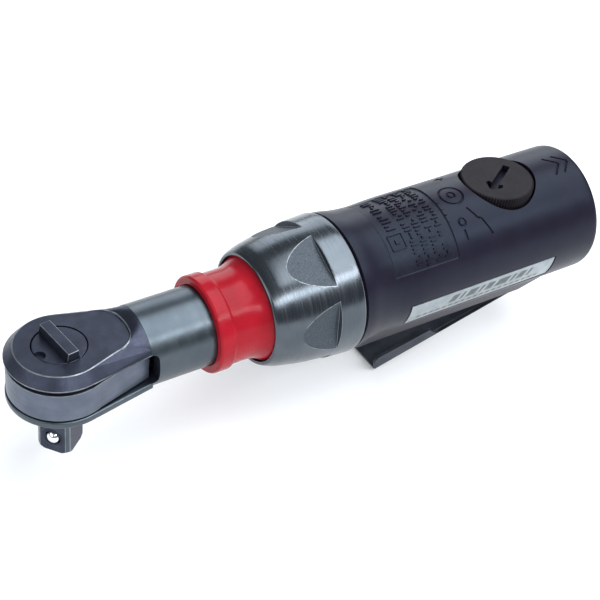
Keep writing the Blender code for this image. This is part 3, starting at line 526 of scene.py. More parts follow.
def make_shoulder():
    """Forged surface that rises from the rear edge of the head's flat to the neck's front."""
    around, along = 48, 10
    neck_span, neck_x, neck_radius = math.radians(64.0), 21.7, 11.48
    bm = bmesh.new()
    rows = []
    for i in range(around + 1):
        share = 2 * i / around - 1
        angle = share * math.pi / 2
        side = max(-1.0, min(1.0, 4 * share)) * FLAT_CORNER_SIDE
        start = Vector((FLAT_CORNER_X + FLAT_CORNER_RADIUS * math.cos(angle),
                        side + FLAT_CORNER_RADIUS * math.sin(angle),
                        HEAD_TOP + 0.02 + 0.35 * math.cos(angle)))
        end = Vector((neck_x, neck_radius * math.sin(share * neck_span),
                      neck_radius * math.cos(share * neck_span)))
        row = []
        for j in range(along + 1):
            t = j / along
            ease = 0.25 * t + 0.75 * (1 - (1 - t) ** 1.7)
            row.append(bm.verts.new((start.x + (end.x - start.x) * t,
                                     start.y + (end.y - start.y) * ease,
                                     start.z + (end.z - start.z) * ease)))
        rows.append(row)
    for a, b in zip(rows, rows[1:]):
        for j in range(along):
            bm.faces.new((a[j], b[j], b[j + 1], a[j + 1])).material_index = int(j == 0)
    rim = [edge for edge in bm.edges if edge.is_boundary]
    core = bm.verts.new((17.0, 0, SLOT_HALF_HEIGHT + 0.2))
    for edge in rim:
        bm.faces.new((*edge.verts, core))
    bmesh.ops.recalc_face_normals(bm, faces=bm.faces)
    return new_object("head_shoulder", bm, FORGED_STEEL, WORN_STEEL)


def make_head():
    """Forked head and neck."""
    upper = hull("head_upper", flat_level()
                 + arm_level(HEAD_RADIUS, 9.6, SLOPE_FOOT)
                 + arm_level(HEAD_RADIUS - 0.9, 10.2, SLOT_HALF_HEIGHT), FORGED_STEEL)
    break_edges(upper, 0.2, angle=24, finish=WORN_STEEL, segments=3)
    lip = -SLOT_HALF_HEIGHT
    lower = hull("head_lower", arm_level(14.1, 10.1, lip) + arm_level(14.4, 10.4, lip - 0.3)
                 + arm_level(14.4, 10.4, -6.8) + arm_level(12.6, 8.6, HEAD_BOTTOM), NECK_STEEL)
    break_edges(lower, 0.3, angle=34, segments=3)
    root = smooth_through([(16.6, 8.2), (18.2, 8.9), (19.4, 9.8), (20.6, 10.9), (21.5, 11.35)])
    forging = lathe("head_neck", [(root[0][0], 0), *root, (21.9, 11.35), (21.9, 0)], FORGED_STEEL)
    neck = lathe("head_and_neck", [(21.3, 0), (21.3, 10.9), (21.66, 11.48), (21.78, NECK_RADIUS),
                                   (61.4, NECK_RADIUS), (61.4, 15.4), (66.8, 15.4), (66.8, 0)],
                 NECK_STEEL)
    slot = block("head_slot", (-20, -20, -SLOT_HALF_HEIGHT), (SLOT_END, 20, SLOT_HALF_HEIGHT),
                 FORGED_STEEL)
    break_edges(slot, 1.6, segments=6)
    bore = lathe("crank_bore", [(20.0, 0), (20.0, 7.9), (63.5, 7.9), (63.5, 12.6), (70.0, 12.6),
                                (70.0, 0)], FORGED_STEEL)
    upper_bore = bar("upper_bore", 2.0, 14.0, DISC_RADIUS + GAP, FORGED_STEEL, axis="Z")
    lower_bore = bar("lower_bore", -14.0, -2.0, 9.6, FORGED_STEEL, axis="Z")
    groove = bar("ring_groove", -7.9, -7.2, 10.3, FORGED_STEEL, axis="Z")
    join(neck, forging, upper, lower, make_shoulder())
    cut(neck, slot, bore, upper_bore, lower_bore, groove)
    settle(neck, "handle", "black_steel", "ratchet_housing")


def make_yoke():
    """Ground band of the ratchet yoke, with its internal teeth and forked tail."""
    low, high = extent("ratchet_yoke")
    tail_end = high.x
    tangent = math.radians(66.0)
    outer = arc(-low.x, tangent, 2 * math.pi - tangent, 120)
    fork = [(tail_end, -5.5), (17.6, -5.5), (16.2, -4.1), (16.2, 4.1), (17.6, 5.5), (tail_end, 5.5)]
    outline = outer + [(tail_end, -8.4)] + fork + [(tail_end, 8.4)]
    teeth = []
    for index in range(YOKE_TEETH):
        for reach, share in ((10.8, -0.25), (9.9, -0.07), (9.9, 0.07), (10.8, 0.25)):
            angle = 2 * math.pi * (index + share) / YOKE_TEETH
            teeth.append((reach * math.cos(angle), reach * math.sin(angle)))
    yoke = plate("yoke_band", [outline, teeth], low.z, high.z, GROUND_STEEL, axis="Z")
    break_edges(yoke, 0.2, angle=50, finish=WORN_STEEL)
    settle(yoke, "yoke", "yoke_steel", "ratchet_yoke")


def make_square_drive():
    """Anvil with its square drive, the ball's staked hole and the ball."""
    turn = Matrix.Rotation(SQUARE_TURN, 4, "Z")
    outline = [(-14.0, 0), (-14.0, 6.7), (-6.2, 6.7), (-6.2, 9.2), (-4.9, 9.2), (-4.9, 9.0),
               (4.6, 9.0), (4.6, 7.2), (6.0, 7.2), (6.0, 0)]
    anvil = lathe("square_drive", outline, NECK_STEEL, axis="Z")
    half = SQUARE / 2
    square = block("square_stock", (-half, -half, DRIVE_END), (half, half, -13.0), FORGED_STEEL,
                   turn=turn)
    nose = rounded([(DRIVE_END, 0, 0), (DRIVE_END, 5.35, 0.2), (DRIVE_END + 0.8, 6.1, 0.4),
                    (-12.0, 6.1, 0), (-12.0, 0, 0)])
    boolean(square, "INTERSECT", lathe("square_turning", nose, NECK_STEEL, axis="Z"))
    break_edges(square, 0.16, angle=35, finish=WORN_STEEL)
    hole = lathe("ball_hole", [(-3.5, 0), (-3.5, 2.35), (4.2, 2.35), (4.8, 3.0), (8.0, 3.0),
                               (8.0, 0)], FORGED_STEEL, segments=48)
    seat = Matrix.Translation((0, 0, BALL_HEIGHT)) @ turn
    hole.data.transform(seat)
    join(anvil, square)
    cut(anvil, hole, bar("stem_bore", -2.4, 8.0, 2.0, FORGED_STEEL, axis="Z", segments=40))
    for side in (-1, 1):
        low, high = sorted((side * 3.7, side * 11.0))
        cut(anvil, block("pawl_pocket", (low, -5.4, -3.5), (high, 5.4, 3.5), FORGED_STEEL))
    settle(anvil, "anvil", "black_steel", "drive_anvil")

    lip = lathe("staked_ring", circle(0.2, 16, across=4.7, up=2.6), FORGED_STEEL, segments=64)
    lip.data.transform(seat)
    settle(lip, "anvil", "black_steel")

    low, high = extent("socket_detent_ball")
    radius = (high.z - low.z) / 2
    dome = [(-radius, 0), *arc(radius, math.pi, 0, 33)[1:-1], (radius, 0)]
    ball = lathe("drive_ball", dome, BALL_STEEL, axis="Z", centre=(low + high) / 2, segments=64)
    settle(ball, "socket_ball", "bearing_steel", "socket_detent_ball")


def make_reverser():
    """Reverser disc, flush in the head, with its raised finger bar and a dimple."""
    turn = Matrix.Rotation(math.radians(-83.0), 4, "Z")
    top = HEAD_TOP - 0.12
    disc = rounded([(-1.8, 0, 0), (-1.8, 1.7, 0), (6.3, 1.7, 0), (6.3, DISC_RADIUS, 0),
                    (top, DISC_RADIUS, 0.25), (top, 0, 0)])
    knob = lathe("reverser_cap", disc, FORGED_STEEL, axis="Z")
    levels = ((7.0, 1.95, top), (7.0, 1.55, HEAD_TOP + BAR_HEIGHT), (6.4, 1.95, top - 1.0))
    grip = hull("reverser_bar", [(x * a, y * b, z) for x, y, z in levels
                                 for a in (-1, 1) for b in (-1, 1)], FORGED_STEEL)
    break_edges(grip, 0.16, angle=40, finish=WORN_STEEL, segments=3)
    grip.data.transform(turn)
    dimple = bar("dimple", HEAD_TOP - 1.3, HEAD_TOP + 1.0, 1.6, FORGED_STEEL, axis="Z",
                 centre=(-6.1, -1.4, 0), segments=48)
    cut(knob, dimple)
    join(knob, grip)
    settle(knob, "reverser", "black_steel", "reverser_knob")


def make_under_head():
    """Thrust washer and open retaining ring under the lower fork arm."""
    low, high = extent("thrust_washer")
    washer = rounded([(low.z, 7.1, 0.1), (low.z, 9.2, 0.1), (high.z, 9.2, 0.1),
                      (high.z, 7.1, 0.1)], 2)
    settle(lathe("washer", washer, GEAR_STEEL, axis="Z"), "handle", "gear_steel", "thrust_washer")
    low, high = extent("retaining_ring")
    opening = math.radians(12.0)
    outline = arc(10.0, opening, 2 * math.pi - opening, 96)
    outline += arc(8.2, 2 * math.pi - opening, opening, 96)
    snap = plate("snap_ring", [outline], low.z, high.z, BRIGHT_STEEL, axis="Z")
    break_edges(snap, 0.08, angle=50)
    settle(snap, "handle", "bright_steel", "retaining_ring")


# ---------------------------------------------------------------- collar and nut

def make_collar():
    """Red collar: a raised rim in front, and a sleeve that flares into the nut's mouth."""
    front, rear = extent("neck_collar")[0].x, NUT_FRONT + 2.0
    inner, mouth = NECK_RADIUS + 0.15, MOUTH_RADIUS - 0.2
    flare = smooth_through([(front + 5.0, 13.35), (NUT_FRONT - 5.2, 13.3), (NUT_FRONT - 2.6, 13.6),
                            (NUT_FRONT - 0.7, 14.35), (NUT_FRONT + 0.9, mouth)])
    head = rounded([(front, inner, 0.1), (front, COLLAR_RIM - 0.4, 0.3),
                    (front + 0.5, COLLAR_RIM, 0.35), (front + 4.4, COLLAR_RIM, 0.3),
                    (front + 4.7, 13.45, 0.2), (*flare[0], 0)])
    outline = head[:-1] + flare + [(rear, mouth), (rear, inner)]
    settle(lathe("red_collar", outline, RED_PLASTIC), "handle", "red_plastic", "neck_collar")


def make_nut():
    """Bell-shaped clamp nut with six blasted wrench flats."""
    bell = smooth_through([(NUT_FRONT + 1.3, 17.05), (60.0, 17.8), (64.0, 18.65), (68.0, 19.4),
                           (72.0, 20.0), (76.0, 20.4), (NUT_REAR - 1.2, NUT_RADIUS)])
    lip = rounded([(NUT_FRONT + 2.4, MOUTH_RADIUS, 0), (NUT_FRONT, MOUTH_RADIUS, 0.4),
                   (NUT_FRONT, 16.3, 0.35), (NUT_FRONT + 0.5, 16.7, 0.3), (*bell[0], 0)], 8)
    inner = [(NUT_REAR, 17.3), (74.0, 17.3), (74.0, 16.4), (61.7, 16.4), (61.1, 15.0),
             (61.1, 12.2), (NUT_FRONT + 2.4, 12.2)]
    rear = rounded([(*bell[-1], 0), (NUT_REAR, NUT_RADIUS - 0.1, 0.4), (NUT_REAR, 17.5, 0)])
    nut = lathe("bell_nut", lip[:-1] + bell[1:] + rear[1:-1] + inner, TURNED_STEEL, segments=192)
    for index in range(6):
        turn = Matrix.Rotation(FLAT_TURN - math.pi / 2 + math.pi * index / 3, 4, "X")
        flat = block("nut_flat", (NUT_FRONT - 1.0, -FLAT_HALF_WIDTH, FLAT_DISTANCE),
                     (FLAT_REAR, FLAT_HALF_WIDTH, FLAT_DISTANCE + 6.0), BLASTED_STEEL, turn=turn)
        cut(nut, flat)
    apply_shape(nut)
    break_edges(nut, 0.09, angle=14, finish=WORN_STEEL)
    settle(nut, "handle", "nut_steel", "clamp_nut")


# ---------------------------------------------------------------- handle

GRIP_CURVE = smooth_through([(HANDLE_FRONT + 0.7, 20.35), (87.0, 20.1), (91.0, 19.4), (96.0, 19.0),
                             (101.0, 19.1), (107.0, GRIP_RADIUS), (125.0, GRIP_RADIUS),
                             (140.0, 19.35), (158.0, 19.5), (HANDLE_REAR - 1.8, 19.5)])


def grip_radius(station):
    """Radius of the handle's round surface at a station."""
    for (x0, r0), (x1, r1) in zip(GRIP_CURVE, GRIP_CURVE[1:]):
        if x0 <= station <= x1:
            return r0 + (r1 - r0) * (station - x0) / (x1 - x0)
    return GRIP_RADIUS


def on_grip(station, degrees, lift):
    """Point lifted off the handle's round surface, or sunk in it."""
    radius = grip_radius(station) + lift
    angle = math.radians(degrees)
    return (station, radius * math.cos(angle), radius * math.sin(angle))


def line_on_grip(start, end, lift, count=12):
    """Points of a straight mark between two (station, degrees) places."""
    return [on_grip(start[0] + (end[0] - start[0]) * i / (count - 1),
                    start[1] + (end[1] - start[1]) * i / (count - 1), lift) for i in range(count)]


def keel_level(station, radius, drop, half_width=8.0):
    """Round section of the handle with the two rounded corners of its flat keel."""
    section = [(station, y, z) for y, z in circle(radius)]
    for side in (-1, 1):
        section += [(station, y, z) for y, z in circle(2.0, 48, across=side * half_width, up=-drop)]
    return section


def shell_tool(name, stations, angles, inner, outer, finish):
    """Curved slab around the tool axis, with rounded ends, to sink a field into the handle."""
    outline = arc(outer, *angles, 40) + arc(inner, angles[1], angles[0], 40)
    slab = plate(name, [outline], *stations, finish)
    break_edges(slab, 0.5, angle=60, segments=4)
    return slab


def grip_marks():
    """Paths of the signs by the air dial, and whether each path is closed.

    They are a double ring, a small ring, a stepped wedge, a minus, a plus and a double chevron.
    """
    per_mm = math.degrees(1 / GRIP_RADIUS)
    paths = []
    for x, degrees, radius in ((DIAL_X - 18.4, 94.0, 3.6), (DIAL_X - 18.4, 94.0, 1.1),
                               (DIAL_X - 20.4, 122.5, 1.1)):
        paths.append(([on_grip(x + across, degrees + up * per_mm, MARK_LIFT)
                       for across, up in circle(radius, 48)], True))
    steps = [(DIAL_X - 16.7, 111.0), (DIAL_X - 14.8, 123.0), (DIAL_X - 13.8, 124.0),
             (DIAL_X - 11.6, 140.0)]
    strokes = list(zip(steps, steps[1:]))
    minus_x, minus_angle = DIAL_X - 20.6, 134.0
    strokes.append(((minus_x, minus_angle - 5.0), (minus_x, minus_angle + 5.0)))
    plus_x, plus_angle = DIAL_X - 15.0, 63.0
    strokes.append(((plus_x, plus_angle - 5.0), (plus_x, plus_angle + 5.0)))
    strokes.append(((plus_x - 1.6, plus_angle), (plus_x + 1.6, plus_angle)))
    for offset in (0.0, 3.4):
        tip = (DIAL_X + 21.6 + offset, 97.0)
        strokes.append(((tip[0] - 3.6, tip[1] - 11.0), tip))
        strokes.append((tip, (tip[0] - 3.6, tip[1] + 11.0)))
    return paths + [(line_on_grip(start, end, MARK_LIFT), False) for start, end in strokes]


def make_handle():
    """Moulded composite handle with its keel, dial pocket, sunk panel and signs."""
    rear = rounded([(*GRIP_CURVE[-1], 0), (HANDLE_REAR, 19.4, 1.3), (HANDLE_REAR, 15.6, 0.3),
                    (160.0, 15.6, 0), (160.0, 8.2, 0), (HANDLE_REAR, 8.2, 0.2),
                    (HANDLE_REAR, 6.3, 0), (132.0, 6.3, 0), (132.0, 2.5, 0), (118.0, 2.5, 0),
                    (118.0, 15.6, 0), (75.5, 15.6, 0), (75.5, 16.4, 0.2), (76.0, 16.9, 0),
                    (83.6, 16.9, 0), (HANDLE_FRONT, 17.5, 0), (HANDLE_FRONT, 19.2, 0.2),
                    (*GRIP_CURVE[0], 0)])
    handle = lathe("grip", GRIP_CURVE + rear[1:-1], COMPOSITE, segments=192)
    keel = hull("keel", keel_level(86.0, KEEL_RADIUS, KEEL_DROP - 0.9)
                + keel_level(92.0, KEEL_RADIUS, KEEL_DROP) + keel_level(152.0, KEEL_RADIUS, KEEL_DROP)
                + keel_level(HANDLE_REAR - 1.2, 17.6, 16.4, 6.0), COMPOSITE)
    cut(keel, bar("keel_core", 80.0, HANDLE_REAR + 2.0, 17.0, COMPOSITE))
    apply_shape(keel)
    join(handle, keel)
    apply_shape(handle)

    pocket_radius = DIAL_RADIUS + 0.6
    seat = [(2.0, 0), (2.0, 3.8), (12.9, 3.8), (12.9, pocket_radius), (24.0, pocket_radius),
            (24.0, 0)]
    cut(handle, lathe("dial_pocket", seat, COMPOSITE, axis="Z", centre=(DIAL_X, 0, 0)))
    side = [(149.4, -26.0), (167.0, -26.0), (167.0, -15.1), (152.0, -15.1), (152.0, -20.0),
            (149.4, -20.0)]
    cut(handle, plate("lever_pocket", [side], -8.1, 8.1, COMPOSITE, axis="Y"))
    cut(handle, bar("valve_bore", -26.0, -2.0, 3.4, COMPOSITE, axis="Z", centre=(VALVE_X, 0, 0),
                    segments=48))
    cut(handle, bar("pin_hole", -14.0, 9.3, 1.5, COMPOSITE, axis="Y",
                    centre=(LEVER_PIVOT.x, 0, LEVER_PIVOT.y), segments=48))
    for side_y in (-11.0, 11.0):
        cut(handle, bar("exhaust_channel", 117.0, 161.0, 2.2, COMPOSITE, centre=(0, side_y, 0),
                        segments=32))
    margin = GAP / GRIP_RADIUS
    cut(handle, shell_tool("label_recess", (LABEL_LOW.x - GAP, LABEL_HIGH.x + GAP),
                           (LABEL_ANGLES[0] - margin, LABEL_ANGLES[1] + margin),
                           GRIP_RADIUS - 0.6, GRIP_RADIUS + 1.5, COMPOSITE))
    cut(handle, shell_tool("panel_recess", PANEL_STATIONS, PANEL_ANGLES, PANEL_FLOOR,
                           GRIP_RADIUS + 2.0, PANEL_COMPOSITE))
    apply_shape(handle)
    for path, closed in grip_marks():
        cut(handle, round_string("mark_groove", path, closed, MARK_RADIUS))
    settle(handle, "handle", "handle_composite", "handle_housing")


def add_bar(bm, station, angle, width, length, height):
    """Raised bar with sloping sides on the panel: width along the tool, length around it."""
    levels = []
    for lift, inset in ((-0.25, 0.0), (height, 0.12)):
        half_x = width / 2 - inset
        half_angle = (length / 2 - inset) / PANEL_FLOOR
        corners = ((-1, -1), (1, -1), (1, 1), (-1, 1))
        radius = PANEL_FLOOR + lift
        levels.append([bm.verts.new((station + a * half_x, radius * math.cos(angle + b * half_angle),
                                     radius * math.sin(angle + b * half_angle)))
                       for a, b in corners])
    low, high = levels
    bm.faces.new(high)
    for index in range(4):
        after = (index + 1) % 4
        bm.faces.new((low[index], low[after], high[after], high[index]))


def make_panel_marks():
    """Rows of short raised bars in the sunk panel, where such tools carry their notices."""
    chance = random.Random(7)
    kinds = ("full", "full", "full", "low", "high", "dash", "gap")
    bar_height, icon_height = 0.42, 0.36
    bm = bmesh.new()
    first, last = PANEL_ANGLES
    rows = [(PANEL_STATIONS[0] + 4.4, 3.0, first + 0.12, math.radians(110.0))]
    rows += [(PANEL_STATIONS[0] + 9.2 + 3.3 * i, 2.4, first + 0.05, last - 0.06) for i in range(4)]
    for station, height, angle, end in rows:
        shapes = {"full": (0.0, height, 0.62), "low": (height / 4, height / 2, 0.7),
                  "high": (-height / 4, height / 2, 0.7), "dash": (0.0, 0.7, 1.0)}
        while angle < end:
            kind = chance.choice(kinds)
            if kind in shapes:
                offset, width, length = shapes[kind]
                add_bar(bm, station + offset, angle, width, length, bar_height)
            angle += (1.15 if kind in shapes else 0.8) / PANEL_FLOOR * (height / 2.4) ** 0.5
    icon_x, icon_angle, half = PANEL_STATIONS[0] + 4.2, math.radians(121.0), 2.3
    for side in (-1, 1):
        add_bar(bm, icon_x + side * half, icon_angle, 0.5, 2 * half, icon_height)
        add_bar(bm, icon_x, icon_angle + side * half / PANEL_FLOOR, 2 * half, 0.5, icon_height)
    add_bar(bm, icon_x, icon_angle, 1.5, 1.5, icon_height)
    bmesh.ops.recalc_face_normals(bm, faces=bm.faces)
    settle(new_object("panel_marks", bm, COMPOSITE), "handle", "handle_composite")


def add_print(bm, start, end, first, last, slant):
    """Patch of print on the label between two stations and two angles, leaning along the tool."""
    radius = GRIP_RADIUS + 0.015
    columns = []
    for step in range(7):
        share = step / 6
        angle = math.radians(first + (last - first) * share)
        lean = slant * (1 - share)
        columns.append([bm.verts.new((x + lean, radius * math.cos(angle), radius * math.sin(angle)))
                        for x in (start, end)])
    for a, b in zip(columns, columns[1:]):
        bm.faces.new((a[0], a[1], b[1], b[0]))


def make_label():
    """Foil label with a print of plain slanted blocks and a dotted band."""
    inner, outer = GRIP_RADIUS - 0.3, GRIP_RADIUS
    outline = arc(outer, *LABEL_ANGLES, 24) + arc(inner, LABEL_ANGLES[1], LABEL_ANGLES[0], 24)
    foil = plate("side_label", [outline], LABEL_LOW.x, LABEL_HIGH.x, LABEL_FOIL)
    break_edges(foil, 0.06, angle=50)
    settle(foil, "handle", "label_foil", "label_plate")

    bm = bmesh.new()
    station = LABEL_LOW.x + (LABEL_HIGH.x - LABEL_LOW.x) * 0.26
    for width in (2.6, 1.0, 3.4, 1.0, 2.6, 4.4, 1.0, 2.6, 1.0):
        add_print(bm, station, station + width, 188.0, 196.5, 1.4)
        station += width + 1.3
    dot_pitch = 2.3
    station = LABEL_LOW.x + 3.0
    while station < LABEL_HIGH.x - 5.0:
        add_print(bm, station, station + 1.5, 200.5, 203.5, 0.4)
        station += dot_pitch
    bmesh.ops.recalc_face_normals(bm, faces=bm.faces)
    settle(new_object("label_print", bm, LABEL_INK), "handle", "label_foil")


def make_dial():
    """Air regulator dial with a serrated rim and an engraved arrow."""
    count = DIAL_TEETH * 4
    low, high, skirt = DIAL_LOW.z, DIAL_HIGH.z, 13.2
    levels = [(skirt, DIAL_RADIUS - 0.8, 0.0), (skirt, DIAL_RADIUS - 0.3, 0.25),
              (skirt + 0.4, DIAL_RADIUS, 0.42), (high - 0.75, DIAL_RADIUS, 0.42),
              (high - 0.3, DIAL_RADIUS - 0.12, 0.3), (high - 0.06, DIAL_RADIUS - 0.5, 0.05),
              (high, DIAL_RADIUS - 0.8, 0.0)]
    bm = bmesh.new()
    rings = []
    for height, radius, depth in levels:
        ring = []
        for index in range(count):
            angle = 2 * math.pi * index / count
            reach = radius - depth * (0.5 - 0.5 * math.cos(DIAL_TEETH * angle))
            ring.append(bm.verts.new((reach * math.cos(angle), reach * math.sin(angle), height)))
        rings.append(ring)
    for below, above in zip(rings, rings[1:]):
        for index in range(count):
            after = (index + 1) % count
            bm.faces.new((below[index], below[after], above[after], above[index]))
    bm.faces.new(rings[-1])
    bm.faces.new(rings[0][::-1])
    dial = new_object("air_dial", bm, DIAL_PLASTIC, centre=(DIAL_X, 0, 0))
    stem = [(low, 0), (low, 3.0), (8.4, 3.2), (9.2, 3.2), (9.2, 2.2), (10.9, 2.2), (10.9, 3.2),
            (skirt + 1.0, 3.2), (skirt + 1.0, 0)]
    join(dial, lathe("dial_stem", stem, DIAL_PLASTIC, axis="Z", centre=(DIAL_X, 0, 0),
                     segments=48))
    arrow = [(6.8, 1.1), (-3.7, 1.1), (-3.2, 2.3), (-4.6, 2.6), (-7.0, 0.5), (-7.0, -0.5),
             (-4.6, -2.6), (-3.2, -2.3), (-3.7, -1.1), (6.8, -1.1)]
    mark = plate("arrow", [arrow], high - 2.2, high + 1.0, PANEL_COMPOSITE, axis="Z")
    mark.data.transform(Matrix.Translation((DIAL_X + 0.5, -0.3, 0))
                        @ Matrix.Rotation(math.radians(33.0), 4, "Z"))
    cut(dial, mark)
    settle(dial, "regulator", "knob_plastic", "regulator_knob")


# ---------------------------------------------------------------- lever, inlet and exhaust

def make_lever():
    """Lever of bent sheet: a U channel along the slope, trimmed to its side outline."""
    along = Vector((math.cos(LEVER_SLOPE), math.sin(LEVER_SLOPE)))
    up = Vector((-along.y, along.x))

    def at(distance, height, cut_length=0.0):
        return (*(LEVER_TIP + along * distance + up * height), cut_length)

    length = (LEVER_PIVOT - LEVER_TIP).dot(along)
    drop = (LEVER_PIVOT - LEVER_TIP).dot(up)
    eye = [(x, z, 0.0) for x, z in
           arc(drop, -math.pi / 2 + LEVER_SLOPE, math.pi / 2 + LEVER_SLOPE, 32, *LEVER_PIVOT)]
    side = rounded([at(0, 0, 0.3)] + eye + [at(length - 5.0, drop + 0.6, 1.0),
                   at(length - 10.0, LEVER_SHEET + 0.1, 1.0), at(24.6, LEVER_SHEET + 0.1, 0.3),
                   at(22.6, 1.6, 0.4), at(20.8, 4.2, 0.6), at(18.0, 4.3, 0.6), at(2.2, 4.8, 0.6),
                   at(0.6, 4.3, 0.6), at(0, 3.2, 0.4)])
    lever = plate("throttle_bar", [side], -9.0, 9.0, LEVER_COAT, axis="Y")
    half, sheet = LEVER_HALF_WIDTH, LEVER_SHEET
    channel = rounded([(-half, 9.0, 0), (-half, 0, 1.5), (half, 0, 1.5), (half, 9.0, 0),
                       (half - sheet, 9.0, 0), (half - sheet, sheet, 0.6),
                       (-half + sheet, sheet, 0.6), (-half + sheet, 9.0, 0)])
    stock = plate("channel", [channel], -4.0, length + 8.0, LEVER_COAT, axis="X")
    tilt = Matrix.Rotation(-LEVER_SLOPE, 4, "Y")
    stock.data.transform(Matrix.Translation((LEVER_TIP.x, 0, LEVER_TIP.y)) @ tilt)
    boolean(lever, "INTERSECT", stock)
    cut(lever, bar("eye_hole", -12.0, 12.0, 1.5, LEVER_COAT, axis="Y",
                   centre=(LEVER_PIVOT.x, 0, LEVER_PIVOT.y), segments=48))
    apply_shape(lever)
    break_edges(lever, 0.16, angle=45)
    settle(lever, "lever", "lever_paint", "throttle_lever")

    low, high = -PIN_HIGH.y, -PIN_LOW.y
    radius = (PIN_HIGH.x - PIN_LOW.x) / 2
    pin = rounded([(low, 0, 0), (low, radius, 0.3), (high, radius, 0.3), (high, 0, 0)])
    settle(lathe("cross_pin", pin, BRIGHT_STEEL, axis="Y", segments=48,
                 centre=(LEVER_PIVOT.x, 0, LEVER_PIVOT.y)), "handle", "bright_steel", "lever_pin")


def make_valve_spring():
    """Spring above the valve stem, which shortens from below as the lever lifts the valve."""
    low, high = extent("valve_spring")
    wire, turns, steps = 0.3, 5, 24
    reach = (high.x - low.x) / 2 - wire
    bottom, rise = low.z + wire, high.z - low.z - 2 * wire
    path = []
    for index in range(turns * steps + 1):
        angle = 2 * math.pi * index / steps
        path.append((VALVE_X + reach * math.cos(angle), reach * math.sin(angle),
                     bottom + rise * index / (turns * steps)))
    spring = round_string("valve_coil", path, False, wire)
    spring.data.materials.append(GEAR_STEEL)
    settle(spring, "handle", "gear_steel", "valve_spring")
    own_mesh(spring)


def make_inlet():
    """Air inlet with a hexagon and a threaded mouth, and the pierced exhaust cover around it."""
    low, high = extent("inlet_bushing")
    front, rear = low.x, high.x
    thread_turns, pitch, hex_corner = 10, 1.3, 9.8
    bore = []
    for index in range(thread_turns):
        station = rear - 0.6 - index * pitch
        radius = 5.9 - index * 0.1
        bore += [(station, radius), (station - pitch / 2, radius - 0.4)]
    outline = rounded([(front, 5.5, 0.2), (front + 0.6, 6.0, 0), (HANDLE_REAR + GAP, 6.0, 0),
                       (HANDLE_REAR + GAP, 11.0, 0.4), (rear, 11.0, 0.5), (rear, 6.3, 0)])
    inlet = lathe("inlet_fitting", outline + bore + [(front, 4.9)], BRIGHT_STEEL, segments=96)
    hexagon = plate("hexagon", [circle(20.0, 12), circle(hex_corner, 6)], HANDLE_REAR - 1.0, 180.0,
                    BRIGHT_STEEL)
    cut(inlet, hexagon)
    apply_shape(inlet)
    break_edges(inlet, 0.12, angle=40)
    settle(inlet, "handle", "bright_steel", "inlet_bushing")

    low, high = extent("exhaust_cover")
    holes = []
    hole_count, hole_reach = 10, 12.0
    for index in range(hole_count):
        angle = 2 * math.pi * (index + 0.5) / hole_count
        holes.append(circle(1.5, 32, across=hole_reach * math.cos(angle),
                            up=hole_reach * math.sin(angle)))
    cover = plate("exhaust_grille", [circle(high.y), circle(8.5)] + holes, low.x, high.x, COMPOSITE)
    break_edges(cover, 0.15, angle=50)
    settle(cover, "handle", "handle_composite", "exhaust_cover")


# ---------------------------------------------------------------- floor, light and camera

def make_floor():
    """Pale floor that glows a little, like a light table, so that shadows stay soft."""
    bm = bmesh.new()
    bmesh.ops.create_grid(bm, x_segments=1, y_segments=1, size=3.0)
    mesh = bpy.data.meshes.new("floor")
    bm.to_mesh(mesh)
    bm.free()
    mesh.materials.append(surface("pale_floor", (0.86, 0.86, 0.865), (0.9, 0.9, 0.905), 0.8,
                                  patch=12, grain=400, relief=0.02, Specular_IOR_Level=0.1,
                                  Emission_Color=(1, 1, 1, 1), Emission_Strength=FLOOR_GLOW))
    floor = bpy.data.objects.new("floor", mesh)
    floor.location.z = CAD_BOX[0][2] - 0.0005
    bpy.context.scene.collection.objects.link(floor)


def add_softbox(name, direction, distance, size, power, tint=(1, 1, 1)):
    """Area light that looks at the object's middle from a direction."""
    middle = (Vector(CAD_BOX[0]) + Vector(CAD_BOX[1])) / 2
    light = bpy.data.lights.new(name, "AREA")
    light.shape = "RECTANGLE"
    light.size, light.size_y = size
    light.energy = power
    light.color = tint
    lamp = bpy.data.objects.new(name, light)
    away = Vector(direction).normalized()
    lamp.location = middle + away * distance
    lamp.rotation_euler = away.to_track_quat("Z", "Y").to_euler()
    bpy.context.scene.collection.objects.link(lamp)


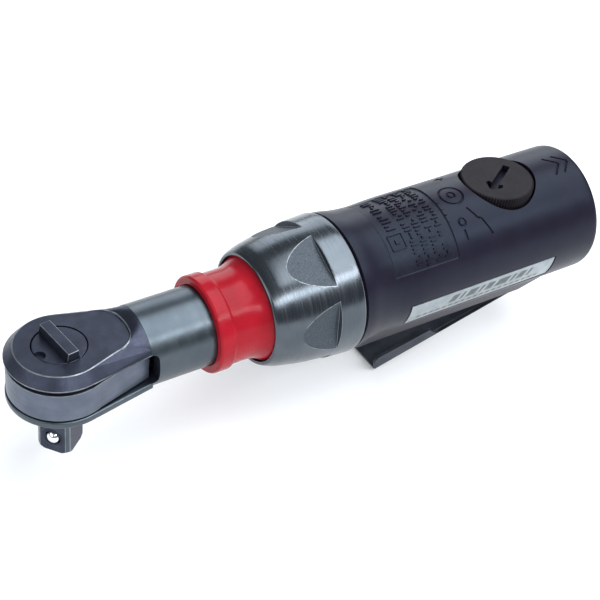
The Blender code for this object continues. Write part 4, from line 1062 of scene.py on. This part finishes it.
def make_lights():
    """Four soft boxes and a faint bluish surround."""
    add_softbox("overhead_box", (0.42, -0.1, 0.9), 1.3, (1.3, 1.0), 19.0, (0.93, 0.97, 1.0))
    add_softbox("near_box", (0.16, -0.67, 0.61), 1.3, (1.5, 0.25), 12.0, (0.95, 0.98, 1.0))
    add_softbox("far_box", (0.48, 0.78, 0.38), 1.5, (1.0, 0.8), 7.5, (0.9, 0.95, 1.0))
    add_softbox("front_box", (-0.85, -0.1, 0.5), 1.4, (1.3, 0.9), 7.5, (0.95, 0.98, 1.0))
    world = bpy.data.worlds.new("studio")
    world.use_nodes = True
    background = world.node_tree.nodes["Background"]
    background.inputs["Color"].default_value = (0.84, 0.92, 1.0, 1)
    background.inputs["Strength"].default_value = 0.26
    bpy.context.scene.world = world
    bpy.context.scene.view_settings.view_transform = "Standard"


def make_camera():
    """Camera above the tool's front, rolled a little, looking near its middle."""
    azimuth, elevation, roll = (math.radians(a) for a in (36.63, 40.11, 6.9))
    distance, aside, raised = 0.4319, -0.0049, 0.0007
    forward = Vector((math.sin(azimuth) * math.cos(elevation),
                      math.cos(azimuth) * math.cos(elevation), -math.sin(elevation)))
    right = Vector((math.cos(azimuth), -math.sin(azimuth), 0))
    up = right.cross(forward)
    middle = (Vector(CAD_BOX[0]) + Vector(CAD_BOX[1])) / 2
    aim = middle + right * aside + up * raised
    data = bpy.data.cameras.new("camera")
    data.lens = 89.32
    data.sensor_width = 36.0
    data.clip_start = 0.01
    camera = bpy.data.objects.new("camera", data)
    across = right * math.cos(roll) + up * math.sin(roll)
    upright = up * math.cos(roll) - right * math.sin(roll)
    turn = Matrix((across, upright, -forward)).transposed().to_4x4()
    camera.matrix_world = Matrix.Translation(aim - forward * distance) @ turn
    bpy.context.scene.collection.objects.link(camera)
    bpy.context.scene.camera = camera


finish_cad_nodes()
make_head()
make_yoke()
make_square_drive()
make_reverser()
make_under_head()
make_collar()
make_nut()
make_handle()
make_panel_marks()
make_label()
make_dial()
make_lever()
make_valve_spring()
make_inlet()
make_floor()
make_lights()
make_camera()
